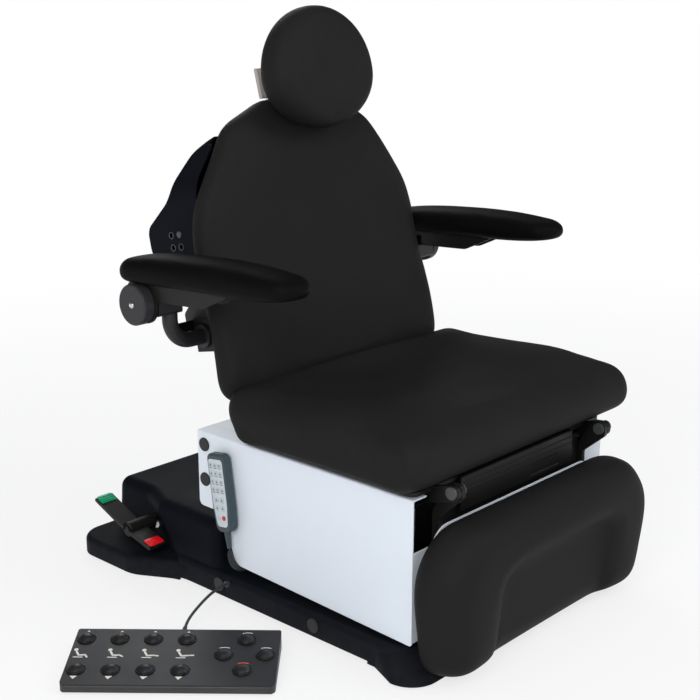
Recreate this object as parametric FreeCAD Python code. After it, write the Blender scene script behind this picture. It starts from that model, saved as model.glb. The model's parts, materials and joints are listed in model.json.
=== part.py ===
import FreeCAD, Part
import math
import os
from FreeCAD import Vector

# Frame: origin on the floor below the lift column, +X to the sitter's left, -Y to the front, +Z up. Millimetres.
# "right" is the sitter's right, the -X side.

# Clearances
RUNNING = 0.05          # radial clearance of a turning shaft
SLIDING = 0.6           # gap per side of a sliding section
SOFT_GAP = 0.3          # gap between an upholstered pad and what carries it
SEAT_IN = 0.3           # gap round a fixed round piece in its hole

# Base cover
BASE_FRONT_Y = -296.0
BASE_REAR_Y = 650.0
BASE_HALF_WIDTH = 337.0
SKIRT_BOTTOM_Z = 4.0
SKIRT_TOP_Z = 58.0
RAISED_EDGE_Z = 10.0
TOE_FRONT_Y = -346.0
TOE_TOP_Z = 44.0
TOE_RUN = 60.0
TOE_FLARE = 26.0
TOE_FLARE_END_Y = -205.0
EAR_HALF_WIDTH = 394.0
EAR_TOP_Z = 44.0
EAR_START_Y = 345.0
EAR_FULL_Y = 445.0
COVER_WALL = 4.0
COVER_EDGE_RADIUS = 12.0
HUMP_FRONT_Y = 232.0
HUMP_REAR_Y = 634.0
HUMP_TOP_Z = 160.0
HUMP_WIDE_HALF = 329.0
HUMP_NARROW_HALF = 296.0
HUMP_DRAFT = 13.0
HUMP_REAR_DRAFT = 10.0
HUMP_WAIST_LOW_Y = 345.0
HUMP_WAIST_HIGH_Y = 460.0
HUMP_WAIST_RUN = 78.0
HUMP_EDGE_RADIUS = 26.0
DOME_HALF_WIDTH = 300.0
DOME_FRONT_Y = -292.0
DOME_REAR_Y = -150.0
DOME_TOP_Z = 112.0
DOME_DRAFT = 8.0
DOME_SEAM = 0.2
SKIRT_PLUG_RADIUS = 15.0
SKIRT_PLUG_Z = 35.0
SKIRT_PLUG_FRONT_Y = -61.0
SKIRT_PLUG_REAR_Y = 217.0
PLUG_HEAD = 3.0

# Base frame
RAIL_INNER_X = 132.0
RAIL_WIDTH = 44.0
RAIL_BOTTOM_Z = 18.0
RAIL_REAR_Y = 585.0
RAIL_FRONT_Y = -280.0
BELLY_PLATE = 6.0

# Castors
CASTOR_X = 230.0
CASTOR_FRONT_Y = -238.0
CASTOR_REAR_Y = 525.0
WHEEL_RADIUS = 30.0
WHEEL_WIDTH = 26.0
CASTOR_TRAIL = 20.0
AXLE_RADIUS = 4.0
FORK_CHEEK = 4.0
FORK_SIDE_GAP = 1.5
CROWN_BOTTOM_Z = 64.0
CROWN_THICK = 8.0
STEM_RADIUS = 10.0
STEM_TOP_Z = 102.0
SOCKET_BOTTOM_Z = 72.5
SOCKET_TOP_Z = 102.0
SOCKET_WALL = 7.0
CASTOR_PLATE = 8.0

# Brake
PEDAL_Y = 488.0
PEDAL_Z = 90.0
SHAFT_RADIUS = 8.0
SHAFT_LEFT_X = 186.0
PEDAL_OUTER_X = 373.0
PEDAL_WIDTH = 46.0
PEDAL_THICK = 9.0
PEDAL_REAR_REACH = 108.0
PEDAL_REAR_RISE = 44.0
PEDAL_FRONT_REACH = 84.0
PEDAL_FRONT_DROP = 21.0
PEDAL_HUB_RADIUS = 17.0
SHAFT_LUG = 8.0

# Lift column
COLUMN_HALF_X = 128.0
COLUMN_HALF_Y = 108.0
COLUMN_WALL = 6.0
COLUMN_CORNER = 18.0
COLUMN_OUTER_TOP_Z = 308.0
STAGE_STEP_Z = 5.0
COLUMN_TOP_Z = 330.0
COLUMN_HEAD = 8.0

# Carriage and its white panels
PANEL_HALF_WIDTH = 316.0
PANEL_SHEET = 3.0
PANEL_TOP_Z = 358.0
PANEL_FRONT_Y = -297.0
PANEL_REAR_Y = 297.0
PANEL_NOTCH_RIGHT_Z = 252.0
PANEL_NOTCH_LEFT_Z = 320.0
PANEL_REAR_BOTTOM_Z = 189.0
PANEL_BOTTOM_FRONT_Z = 64.0
PANEL_BOTTOM_REAR_Z = 82.0
PANEL_CUT_Y = 186.0
PANEL_BULGE_Y = 206.0
PANEL_FLANGE = 38.0
PANEL_FRONT_FOLD = 62.0
PANEL_SEAM = 0.6
REAR_TOP_FRONT_Y = 214.0
PANEL_PLUG_Y = 276.0
PANEL_PLUG_HIGH_Z = 329.0
PANEL_PLUG_LOW_Z = 251.0
PANEL_PLUG_RADIUS = 15.0
BEAM_BOTTOM_Z = 300.0
BEAM_WIDTH = 34.0
BEAM_INSET_Y = 12.0
REAR_BEAM_Y = 180.0
SIDE_RAIL = 17.0
DECK_FRONT_Y = -276.0
DECK_SHEET = 4.0
FRONT_PLATE_Y = -293.0
FRONT_PLATE_BOTTOM_Z = 245.0
FRONT_PLATE_TOP_Z = 350.0
FRONT_PLATE_GAP = 6.0

# Seat
TILT_Y = 198.0
TILT_Z = 346.0
TILT_PIN_RADIUS = 7.0
TILT_EAR_X = 180.0
EAR_PLATE = 10.0
EAR_GAP = 2.0
EAR_EYE = 14.0
PAN_BOTTOM_Z = 362.0
PAN_THICK = 8.0
PAN_INSET = 2.0
PAN_FRONT_Y = -296.0
PAN_REAR_Y = 160.0
PAN_LIP = 26.0
SEAT_HALF_WIDTH = 353.0
SEAT_REAR_Y = 163.0
SEAT_FRONT_Y = -345.0
SEAT_REAR_TOP_Z = 478.0
SEAT_CREST_TOP_Z = 497.0
SEAT_CREST_Y = -165.0
SEAT_NOSE_Z = 398.0
SEAT_EDGE_RADIUS = 34.0
APRON_Y = -305.0
APRON_THICK = 5.0
APRON_HALF_WIDTH = 188.0
APRON_BOTTOM_Z = 300.0
LEG_HINGE_Y = -341.0
LEG_HINGE_Z = 368.0
LEG_BRACKET_INSET = 68.0
LEG_BRACKET_REAR_Y = -205.0
LEG_BRACKET_DROP = 30.0
LEG_PIN_RADIUS = 8.0
PIN_HEAD = 5.0

# Leg rest
LEG_HALF_WIDTH = 348.0
LEG_TOP_Z = 303.0
LEG_BOTTOM_Z = 22.0
LEG_REAR_Y = -306.0
LEG_THICK = 112.0
LEG_CORNER = 115.0
LEG_FOOT_CORNER = 50.0
LEG_FOOT_HALF = 326.0
LEG_CALF_Z = 165.0
LEG_CALF_ROUND = 150.0
LEG_PLATE_CORNER = 50.0
LEG_SCOOP_DEEP = 24.0
LEG_SCOOP_HALF = 214.0
LEG_SCOOP_TOP_Z = 226.0
LEG_SCOOP_SLOPE = 26.0
LEG_SCOOP_CORNER = 66.0
LEG_EDGE_RADIUS = 44.0
LEG_PLATE_THICK = 3.0
LEG_PLATE_HALF = 272.0
LEG_PLATE_TOP_Z = 289.0
LEG_PLATE_BOTTOM_Z = 60.0
LEG_LUG_BOTTOM_Z = 120.0
LEG_LUG_DEEP = 18.0

# Back, set out upright from its hinge: y to the rear, z up
BACK_HINGE_Y = 225.0
BACK_HINGE_Z = 418.0
BACK_RECLINE = 12.0
BACK_PIN_RADIUS = 8.0
BACK_EAR_X = 196.0
BACK_FRONT = -66.0
BACK_THICK = 60.0
BACK_PAD_BOTTOM = 22.0
BACK_PAD_TOP = 616.0
BACK_LOW_HALF = 334.0
BACK_SHOULDER_HALF = 326.0
BACK_SHOULDER = 385.0
BACK_TOP_HALF = 96.0
BACK_CROWN_HALF = 208.0
BACK_CROWN = 570.0
BACK_EDGE_RADIUS = 30.0
BACK_REAR_RADIUS = 26.0
BACK_PLATE = 10.0
BACK_PLATE_HALF = 222.0
BACK_PLATE_TOP = 540.0
SHELL_HALF_WIDTH = 290.0
SHELL_BOTTOM = 262.0
SHELL_TOP = 560.0
SHELL_BULGE = 353.0
SHELL_SHOULDER = 460.0
SHELL_TOP_HALF = 205.0
SHELL_DEEP = 167.0
SHELL_LOW_DEEP = 42.0
SHELL_WAIST_UP = 438.0
SHELL_WAIST_DEEP = 84.0
SHELL_HIGH_DEEP = 50.0
SHELL_WALL = 4.0
SHELL_HOLE_RADIUS = 5.5
SHELL_HOLE_UP = 340.0
SHELL_HOLE_BACK = 66.0
SHELL_HOLE_SPACING = 26.0

# Arms
ARM_X = 406.0
ARM_HUB_Y = 316.0
ARM_HUB_Z = 649.0
ARM_HUB_RADIUS = 42.0
ARM_HUB_THICK = 24.0
ARM_SLOPE = 3.0
ARM_TUBE_INSET = 20.0
ARM_TUBE_RADIUS = 16.0
ARM_TUBE_BEND = 52.0
ARM_TUBE_BACK = 39.0
ARM_TUBE_UP = 152.0
ARM_TUBE_IN_X = 262.0
ARM_BLOCK_END_X = 296.0
ARM_BLOCK_HIGH = 68.0
ARM_BLOCK_DEEP = 67.0
ARM_STOP_X = 342.0
ARM_STOP = 5.0
ARM_STOP_DROP = 6.0
ARM_COLLAR_RADIUS = 25.0
ARM_COLLAR = 8.0
KNUCKLE_HALF = 22.0
KNUCKLE_EYE = 23.0
ARM_PIN_RADIUS = 9.0
CHANNEL_SHEET = 6.0
CHANNEL_SIDE_GAP = 2.0
CHANNEL_TOP_Z = 691.0
CHANNEL_FRONT_Y = 60.0
CHANNEL_NOSE_RUN = 70.0
CHANNEL_SKIRT_Z = 657.0
CHEEK_CUT = 54.0
ARM_PAD_REAR_Y = 374.0
ARM_PAD_FRONT_Y = -108.0
ARM_PAD_REAR_HALF = 57.0
ARM_PAD_FRONT_HALF = 48.0
ARM_PAD_THICK = 50.0
ARM_PAD_EDGE_RADIUS = 24.0

# Headrest: the post is set out with the back, the pad about its own centre
POST_HALF_WIDTH = 30.0
POST_THICK = 12.0
POST_BOTTOM = 330.0
POST_KNUCKLE = 680.0
GUIDE_WALL = 6.0
GUIDE_BOTTOM = 380.0
GUIDE_TOP = 450.0
HEAD_PIN_RADIUS = 6.0
HEAD_EYE_RADIUS = 14.0
LINK_HALF = 13.0
FORK_ARM = 8.0
HEAD_Y = 243.0
HEAD_Z = 1096.0
HEAD_RECLINE = 9.0
HEAD_HALF_WIDTH = 146.0
HEAD_UP = 142.0
HEAD_DOWN = 110.0
HEAD_CENTRE_DROP = 16.0
HEAD_THICK = 90.0
HEAD_EDGE_RADIUS = 40.0
HEAD_PLATE = 6.0
HEAD_PLATE_HALF = 60.0
HEAD_EYE_BACK = 26.0
LEVER_LONG = 56.0
LEVER_RADIUS = 9.0
LEVER_HUB = 10.0
LEVER_SIDE_GAP = 0.5
LEVER_REACH = 20.0
LEVER_GRIP = 20.0
LEVER_DROP = 75.0

# Hand control on the right panel
HAND_Y = 203.0
HAND_TOP_Z = 330.0
HAND_BOTTOM_Z = 160.0
HAND_WIDTH = 53.0
HAND_FOOT_WIDTH = 44.0
HAND_THICK = 22.0
HAND_STANDOFF = 6.0
HAND_LEAN = 8.0
HAND_EDGE_RADIUS = 5.0
HAND_HOOK_RADIUS = 11.0
HAND_TAIL = 36.0
HAND_TAIL_RADIUS = 8.0
COIL_RADIUS = 7.0
COIL_LOW_Z = 66.0
COIL_IN_X = 241.0

# Foot control on the floor, set out about its own centre
FOOT_X = -598.0
FOOT_Y = 56.0
FOOT_TURN = -48.3
FOOT_HALF_LENGTH = 200.0
FOOT_HALF_DEPTH = 95.5
FOOT_CORNER = 14.0
FOOT_LIFT = 4.0
FOOT_FRONT_Z = 19.0
FOOT_REAR_Z = 39.0
FOOT_PAD_RADIUS = 11.0
BUTTON_RADIUS = 16.0
BUTTON_GAP = 0.5
BUTTON_DOME = 9.0
BUTTON_STEM = 6.0
BUTTON_TRAVEL = 3.0
BUTTON_FIRST_A = -178.0
BUTTON_PITCH = 65.5
BUTTON_MID_B = 6.4
BUTTON_ROW_HALF = 50.0
DIAMOND_A = 134.5
DIAMOND_HALF_A = 40.0
DIAMOND_HALF_B = 49.5
BOOT_A = 4.0
BOOT_LONG = 34.0
BOOT_RADIUS = 7.0
BOOT_Z = 22.0
FOOT_CORD_RADIUS = 3.0
CORD_EXIT_Y = 190.0
CORD_EXIT_Z = 44.0
GROMMET_RADIUS = 7.0
GROMMET_LONG = 6.0

# Places worked out from the sizes above
RAIL_TOP_Z = SKIRT_TOP_Z - COVER_WALL
PAN_TOP_Z = PAN_BOTTOM_Z + PAN_THICK
PAN_HALF_WIDTH = PANEL_HALF_WIDTH - PAN_INSET
LEG_BRACKET_X = PANEL_HALF_WIDTH - LEG_BRACKET_INSET
LEG_LUG_X = LEG_BRACKET_X - EAR_GAP - EAR_PLATE
FRONT_PLATE_HALF = LEG_LUG_X - FRONT_PLATE_GAP
BACK_REAR = BACK_FRONT + BACK_THICK
PAD_BACK = BACK_REAR + SOFT_GAP
PLATE_REAR = PAD_BACK + BACK_PLATE
POST_MID = PLATE_REAR + SLIDING + POST_THICK / 2
ARM_TUBE_X = ARM_X - ARM_TUBE_INSET
KNUCKLE_IN_X = ARM_TUBE_X - ARM_TUBE_RADIUS - 2
CHEEK_INNER = KNUCKLE_HALF + CHANNEL_SIDE_GAP
CHEEK_OUTER = CHEEK_INNER + CHANNEL_SHEET
SIDES = {"right": -1, "left": 1}

PLANES = {
    "xy": lambda u, v, w: Vector(u, v, w),
    "yz": lambda u, v, w: Vector(w, u, v),
    "xz": lambda u, v, w: Vector(u, w, v),
}


def rounded_wire(corners, place):
    """Closed wire through corners (u, v, radius), each one rounded by a tangent arc."""
    count = len(corners)
    arcs = []
    for i in range(count):
        u, v, radius = corners[i]
        before = corners[i - 1]
        after = corners[(i + 1) % count]
        here = Vector(u, v, 0)
        back = (Vector(before[0], before[1], 0) - here).normalize()
        ahead = (Vector(after[0], after[1], 0) - here).normalize()
        half = back.getAngle(ahead) / 2
        reach = radius / math.tan(half)
        middle = (back + ahead).normalize() * (radius / math.sin(half) - radius)
        arcs.append((here + back * reach, here + middle, here + ahead * reach, radius))
    edges = []
    for i in range(count):
        start, middle, end, radius = arcs[i]
        following = arcs[(i + 1) % count][0]
        if radius > 0:
            edges.append(Part.Arc(place(*start[:2]), place(*middle[:2]), place(*end[:2])).toShape())
        if end.distanceToPoint(following) > 1e-6:
            edges.append(Part.LineSegment(place(*end[:2]), place(*following[:2])).toShape())
    return Part.Wire(edges)


def outline(plane, corners, level):
    place = PLANES[plane]
    return rounded_wire(corners, lambda u, v: place(u, v, level))


def prism(plane, corners, low, high):
    """Solid swept from a rounded outline in one plane, between two levels across it."""
    face = Part.Face(outline(plane, corners, low))
    return face.extrude(PLANES[plane](0, 0, high - low))


def loft(plane, corners_low, low, corners_high, high):
    wires = [outline(plane, corners_low, low), outline(plane, corners_high, high)]
    return Part.makeLoft(wires, True, True)


def box(x0, x1, y0, y1, z0, z1):
    return Part.makeBox(x1 - x0, y1 - y0, z1 - z0, Vector(x0, y0, z0))


def rod_x(radius, x0, x1, y, z):
    return Part.makeCylinder(radius, x1 - x0, Vector(x0, y, z), Vector(1, 0, 0))


def rod_y(radius, y0, y1, x, z):
    return Part.makeCylinder(radius, y1 - y0, Vector(x, y0, z), Vector(0, 1, 0))


def rod_z(radius, z0, z1, x, y):
    return Part.makeCylinder(radius, z1 - z0, Vector(x, y, z0), Vector(0, 0, 1))


def joined(pieces):
    return pieces[0].multiFuse(pieces[1:]).removeSplitter()


def flipped(shape):
    return shape.mirror(Vector(0, 0, 0), Vector(1, 0, 0))


def both_sides(shape):
    return [shape, flipped(shape)]


def doubled(half):
    """Whole outline from its right-hand half (x, y, radius), listed from one end to the other."""
    return half + [(-x, y, r) for x, y, r in reversed(half)]


def edges_at(shape, axis, level):
    """Edges that lie wholly at one level of an axis."""
    found = []
    for edge in shape.Edges:
        bounds = edge.BoundBox
        low = (bounds.XMin, bounds.YMin, bounds.ZMin)[axis]
        high = (bounds.XMax, bounds.YMax, bounds.ZMax)[axis]
        if abs(low - level) < 0.01 and abs(high - level) < 0.01:
            found.append(edge)
    return found


def softened(shape, axis, levels, radius):
    edges = []
    for level in levels:
        edges += edges_at(shape, axis, level)
    return shape.makeFillet(radius, edges)


def swept_cord(points, radius):
    """Round cord along straight runs joined by tangent arcs."""
    bends = [points[0]]
    edges = []
    for i in range(1, len(points) - 1):
        back = points[i - 1] - points[i]
        ahead = points[i + 1] - points[i]
        half = back.getAngle(ahead) / 2
        reach = 0.45 * min(back.Length, ahead.Length)
        bend = reach * math.tan(half)
        print("cord bend radius", round(bend, 1))
        back.normalize()
        ahead.normalize()
        start = points[i] + back * reach
        end = points[i] + ahead * reach
        middle = points[i] + (back + ahead).normalize() * (bend / math.sin(half) - bend)
        edges.append(Part.LineSegment(bends[-1], start).toShape())
        edges.append(Part.Arc(start, middle, end).toShape())
        bends.append(end)
    edges.append(Part.LineSegment(bends[-1], points[-1]).toShape())
    spine = Part.Wire(edges)
    along = (points[1] - points[0]).normalize()
    circle = Part.Wire([Part.makeCircle(radius, points[0], along)])
    print("cord length", round(spine.Length, 1))
    return spine.makePipeShell([circle], True, True, 1)


def to_back(shape):
    """Take a piece set out from the upright back hinge to its place on the reclined back."""
    placed = shape.copy()
    placed.rotate(Vector(0, 0, 0), Vector(1, 0, 0), -BACK_RECLINE)
    placed.translate(Vector(0, BACK_HINGE_Y, BACK_HINGE_Z))
    return placed


def back_point(y, z):
    """Place of a point of the back, given from its hinge, on the reclined back."""
    turn = math.radians(BACK_RECLINE)
    return (BACK_HINGE_Y + y * math.cos(turn) + z * math.sin(turn),
            BACK_HINGE_Z + z * math.cos(turn) - y * math.sin(turn))


def head_point(y, z):
    turn = math.radians(HEAD_RECLINE)
    return (HEAD_Y + y * math.cos(turn) + z * math.sin(turn),
            HEAD_Z + z * math.cos(turn) - y * math.sin(turn))


def to_head(shape):
    placed = shape.copy()
    placed.rotate(Vector(0, 0, 0), Vector(1, 0, 0), -HEAD_RECLINE)
    placed.translate(Vector(0, HEAD_Y, HEAD_Z))
    return placed


def to_arm(shape):
    placed = shape.copy()
    placed.rotate(Vector(0, ARM_HUB_Y, ARM_HUB_Z), Vector(1, 0, 0), -ARM_SLOPE)
    return placed


def to_foot(shape):
    placed = shape.copy()
    placed.rotate(Vector(0, 0, 0), Vector(0, 0, 1), FOOT_TURN)
    placed.translate(Vector(FOOT_X, FOOT_Y, 0))
    return placed


def foot_point(a, b, z):
    turn = math.radians(FOOT_TURN)
    return Vector(FOOT_X + a * math.cos(turn) - b * math.sin(turn),
                  FOOT_Y + a * math.sin(turn) + b * math.cos(turn), z)


def foot_top(b):
    """Height of the foot control's sloping top at a distance from its middle."""
    share = (b + FOOT_HALF_DEPTH) / (2 * FOOT_HALF_DEPTH)
    return FOOT_FRONT_Z + share * (FOOT_REAR_Z - FOOT_FRONT_Z)


def cover_body(inset, bottom):
    """Base cover's outer form, or with an inset the hollow below it."""
    side = BASE_HALF_WIDTH - inset
    ear = EAR_HALF_WIDTH - inset
    front = BASE_FRONT_Y + inset
    rear = BASE_REAR_Y - inset
    deck = [(side, front, 60.0), (side, EAR_START_Y, 120.0), (ear, EAR_FULL_Y, 80.0), (ear, rear, 60.0)]
    skirt = [(side, front, 60.0), (side, EAR_START_Y + 20 - inset, 20.0)]
    low = prism("xy", doubled(deck), bottom, EAR_TOP_Z - inset)
    high = prism("xy", doubled(skirt), bottom, SKIRT_TOP_Z - inset)
    toe = TOE_FRONT_Y + inset
    flared = side + TOE_FLARE
    flare_end = TOE_FLARE_END_Y - inset
    toe_low = [(flared, toe, 60.0), (flared, toe + TOE_RUN, 0.0), (side - 8, flare_end, 0.0)]
    toe_high = [(side - 2, front + 2, 60.0), (side - 3, toe + 2 * TOE_RUN, 0.0), (side - 8, flare_end, 0.0)]
    front_toe = loft("xy", doubled(toe_low), bottom, doubled(toe_high), TOE_TOP_Z - inset)
    wide = HUMP_WIDE_HALF - inset
    slim = HUMP_NARROW_HALF - inset
    hump_front = HUMP_FRONT_Y + inset
    hump_rear = HUMP_REAR_Y - inset
    waist_low = HUMP_WAIST_LOW_Y - 3 * inset
    waist_high = HUMP_WAIST_HIGH_Y - 3 * inset
    hump_low = [(wide, hump_front, 24.0), (wide, waist_low, 40.0),
                (slim, waist_low + HUMP_WAIST_RUN, 40.0), (slim, hump_rear, 40.0)]
    wide_high = wide - HUMP_DRAFT
    slim_high = slim - HUMP_DRAFT
    hump_high = [(wide_high, hump_front + HUMP_DRAFT, 24.0), (wide_high, waist_high, 40.0),
                 (slim_high, waist_high + HUMP_WAIST_RUN, 30.0), (slim_high, hump_rear - HUMP_REAR_DRAFT, 20.0)]
    hump = loft("xy", doubled(hump_low), bottom + 20, doubled(hump_high), HUMP_TOP_Z - inset)
    dome = DOME_HALF_WIDTH - inset
    dome_front = DOME_FRONT_Y + inset
    dome_rear = DOME_REAR_Y - inset
    dome_low = [(dome, dome_front, 50.0), (dome, dome_rear, 40.0)]
    dome_high = [(dome - DOME_DRAFT, dome_front + DOME_DRAFT, 50.0), (dome - DOME_DRAFT, dome_rear - DOME_DRAFT, 40.0)]
    front_dome = loft("xy", doubled(dome_low), bottom + 20, doubled(dome_high), DOME_TOP_Z - inset)
    hump = softened(hump, 2, [HUMP_TOP_Z - inset], HUMP_EDGE_RADIUS - inset)
    if inset == 0:
        low = softened(low, 2, [EAR_TOP_Z], COVER_EDGE_RADIUS)
        high = softened(high, 2, [SKIRT_TOP_Z], COVER_EDGE_RADIUS)
        front_dome = softened(front_dome, 2, [DOME_TOP_Z], COVER_EDGE_RADIUS)
    return low.multiFuse([high, front_toe, hump, front_dome])


def skirt_plug_places():
    for side in SIDES.values():
        for y in (SKIRT_PLUG_FRONT_Y, SKIRT_PLUG_REAR_Y):
            yield side, y


def base_cover():
    cover = cover_body(0, SKIRT_BOTTOM_Z).cut(cover_body(COVER_WALL, SKIRT_BOTTOM_Z - 5))
    well = [(COLUMN_HALF_X + 6, COLUMN_HALF_Y + 6, 20.0), (COLUMN_HALF_X + 6, -COLUMN_HALF_Y - 6, 20.0)]
    cuts = [prism("xy", doubled(well), SKIRT_BOTTOM_Z, SKIRT_TOP_Z + 5)]
    cuts.append(box(-EAR_HALF_WIDTH, EAR_HALF_WIDTH, TOE_FLARE_END_Y, EAR_START_Y, SKIRT_BOTTOM_Z - 1, RAISED_EDGE_Z))
    # the raised front shroud is a moulding of its own, set on the deck
    cuts.append(box(-DOME_HALF_WIDTH - 2, DOME_HALF_WIDTH + 2, DOME_FRONT_Y - 2, DOME_REAR_Y + 2,
                    SKIRT_TOP_Z, SKIRT_TOP_Z + DOME_SEAM))
    cuts.append(rod_x(PEDAL_HUB_RADIUS + 3, -HUMP_WIDE_HALF, -HUMP_NARROW_HALF + 40, PEDAL_Y, PEDAL_Z))
    wall = BASE_HALF_WIDTH - COVER_WALL
    for side, y in skirt_plug_places():
        hole = rod_x(SKIRT_PLUG_RADIUS - 3 + SEAT_IN, wall - 5, BASE_HALF_WIDTH + 5, y, SKIRT_PLUG_Z)
        cuts.append(hole if side > 0 else flipped(hole))
    cuts.append(rod_x(GROMMET_RADIUS - 2 + SEAT_IN, -BASE_HALF_WIDTH - 5, -wall + 5, CORD_EXIT_Y, CORD_EXIT_Z))
    return cover.cut(cuts).removeSplitter()


def skirt_plugs():
    """Round caps pressed into the skirt, two on each side."""
    pieces = []
    for side, y in skirt_plug_places():
        head = rod_x(SKIRT_PLUG_RADIUS, BASE_HALF_WIDTH, BASE_HALF_WIDTH + PLUG_HEAD, y, SKIRT_PLUG_Z)
        head = softened(head, 0, [BASE_HALF_WIDTH + PLUG_HEAD], 1.5)
        neck = rod_x(SKIRT_PLUG_RADIUS - 3, BASE_HALF_WIDTH - COVER_WALL, BASE_HALF_WIDTH, y, SKIRT_PLUG_Z)
        plug = joined([head, neck])
        pieces.append(plug if side > 0 else flipped(plug))
    return Part.makeCompound(pieces)


def castor_places():
    for end, y in (("front", CASTOR_FRONT_Y), ("rear", CASTOR_REAR_Y)):
        for name, side in SIDES.items():
            yield end + "_" + name, side * CASTOR_X, y


def base_frame():
    rail_outer = RAIL_INNER_X + RAIL_WIDTH
    pieces = both_sides(box(RAIL_INNER_X, rail_outer, RAIL_FRONT_Y, RAIL_REAR_Y, RAIL_BOTTOM_Z, RAIL_TOP_Z))
    pieces.append(box(-rail_outer, rail_outer, RAIL_FRONT_Y, RAIL_REAR_Y, RAIL_BOTTOM_Z - BELLY_PLATE, RAIL_BOTTOM_Z))
    for y in (RAIL_FRONT_Y, RAIL_REAR_Y - RAIL_WIDTH):
        pieces.append(box(-rail_outer, rail_outer, y, y + RAIL_WIDTH, RAIL_BOTTOM_Z, RAIL_TOP_Z))
    plate_low = SOCKET_BOTTOM_Z + 1.5
    socket = STEM_RADIUS + SOCKET_WALL
    bores = []
    for name, x, y in castor_places():
        side = 1 if x > 0 else -1
        arm = box(RAIL_INNER_X, CASTOR_X + socket, y - 30, y + 30, plate_low, plate_low + CASTOR_PLATE)
        post = box(RAIL_INNER_X, rail_outer, y - 24, y + 24, RAIL_TOP_Z, plate_low)
        for piece in (arm, post):
            pieces.append(piece if side > 0 else flipped(piece))
        pieces.append(rod_z(socket, SOCKET_BOTTOM_Z, SOCKET_TOP_Z, x, y))
        bores.append(rod_z(STEM_RADIUS + RUNNING, 0, SOCKET_TOP_Z + 5, x, y))
    lug = box(RAIL_INNER_X + 18, RAIL_INNER_X + 18 + SHAFT_LUG, PEDAL_Y - 18, PEDAL_Y + 16, RAIL_TOP_Z, PEDAL_Z + 20)
    pieces += both_sides(lug)
    bores.append(rod_x(SHAFT_RADIUS + RUNNING, -rail_outer, rail_outer, PEDAL_Y, PEDAL_Z))
    return joined(pieces).cut(bores)


def castor_fork(x, y):
    cheek_in = WHEEL_WIDTH / 2 + FORK_SIDE_GAP
    cheek_out = cheek_in + FORK_CHEEK
    stem = rod_z(STEM_RADIUS, CROWN_BOTTOM_Z, STEM_TOP_Z, 0, 0)
    crown = rod_z(cheek_out, CROWN_BOTTOM_Z, CROWN_BOTTOM_Z + CROWN_THICK, 0, 0)
    axle_z = WHEEL_RADIUS
    side = [(-cheek_out, CROWN_BOTTOM_Z + CROWN_THICK, 0.0), (-cheek_out + 6, axle_z + 12, 4.0),
            (CASTOR_TRAIL - 9, axle_z - 9, 8.0), (CASTOR_TRAIL + 9, axle_z - 9, 8.0),
            (CASTOR_TRAIL + 9, axle_z + 9, 6.0), (cheek_out, CROWN_BOTTOM_Z + CROWN_THICK, 0.0)]
    cheek = prism("yz", side, cheek_in, cheek_out)
    bridge = box(-cheek_out, cheek_out, -cheek_out, cheek_out, CROWN_BOTTOM_Z, CROWN_BOTTOM_Z + CROWN_THICK)
    axle = rod_x(AXLE_RADIUS, -cheek_out - 2, cheek_out + 2, CASTOR_TRAIL, axle_z)
    fork = joined([stem, crown, bridge, axle] + both_sides(cheek))
    fork.translate(Vector(x, y, 0))
    return fork


def castor_wheel(x, y):
    half = WHEEL_WIDTH / 2
    centre = (CASTOR_TRAIL, WHEEL_RADIUS)
    tread = softened(rod_x(WHEEL_RADIUS, -half, half, *centre), 0, [-half, half], 5.0)
    dish = rod_x(WHEEL_RADIUS - 9, half - 5, half, *centre)
    bore = rod_x(AXLE_RADIUS + RUNNING, -half, half, *centre)
    boss = [rod_x(AXLE_RADIUS + 5, half - 5, half, *centre)]
    hollow = dish.cut(boss)
    wheel = tread.cut([hollow, flipped(hollow), bore])
    wheel.translate(Vector(x, y, 0))
    return wheel


def brake_shaft():
    return rod_x(SHAFT_RADIUS, -PEDAL_OUTER_X + 3, SHAFT_LEFT_X, PEDAL_Y, PEDAL_Z)


def brake_pedal():
    """Rocker with two arms in a shallow V, pinned on the brake shaft."""
    rear = (PEDAL_Y + PEDAL_REAR_REACH, PEDAL_Z + PEDAL_REAR_RISE)
    front = (PEDAL_Y - PEDAL_FRONT_REACH, PEDAL_Z - PEDAL_FRONT_DROP)
    top = PEDAL_Z + PEDAL_THICK / 2
    side = [(front[0], front[1] - PEDAL_THICK / 2, 3.0), (front[0], front[1] + PEDAL_THICK / 2, 3.0),
            (PEDAL_Y, top, 60.0), (rear[0], rear[1] + PEDAL_THICK / 2, 3.0),
            (rear[0], rear[1] - PEDAL_THICK / 2, 3.0), (PEDAL_Y, top - PEDAL_THICK, 60.0)]
    inner = PEDAL_OUTER_X - PEDAL_WIDTH
    blade = prism("yz", side, -PEDAL_OUTER_X, -inner)
    hub = rod_x(PEDAL_HUB_RADIUS, -PEDAL_OUTER_X + 6, -HUMP_NARROW_HALF - 2, PEDAL_Y, PEDAL_Z)
    bore = rod_x(SHAFT_RADIUS, -PEDAL_OUTER_X - 1, -HUMP_NARROW_HALF, PEDAL_Y, PEDAL_Z)
    return joined([blade, hub]).cut(bore)


def column_stage(step, bottom, top):
    """Hollow rectangular stage; each next stage slides inside the one before."""
    inward = step * (COLUMN_WALL + SLIDING)
    half_x = COLUMN_HALF_X - inward
    half_y = COLUMN_HALF_Y - inward
    outer_radius = COLUMN_CORNER - inward
    outer = [(half_x, half_y, outer_radius), (half_x, -half_y, outer_radius)]
    inner_radius = outer_radius - COLUMN_WALL
    if step == 2:
        inner_radius = 0.0
    inner = [(half_x - COLUMN_WALL, half_y - COLUMN_WALL, inner_radius),
             (half_x - COLUMN_WALL, COLUMN_WALL - half_y, inner_radius)]
    return prism("xy", doubled(outer), bottom, top).cut(prism("xy", doubled(inner), bottom, top))


def column_outer():
    return column_stage(0, RAIL_BOTTOM_Z, COLUMN_OUTER_TOP_Z)


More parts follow.
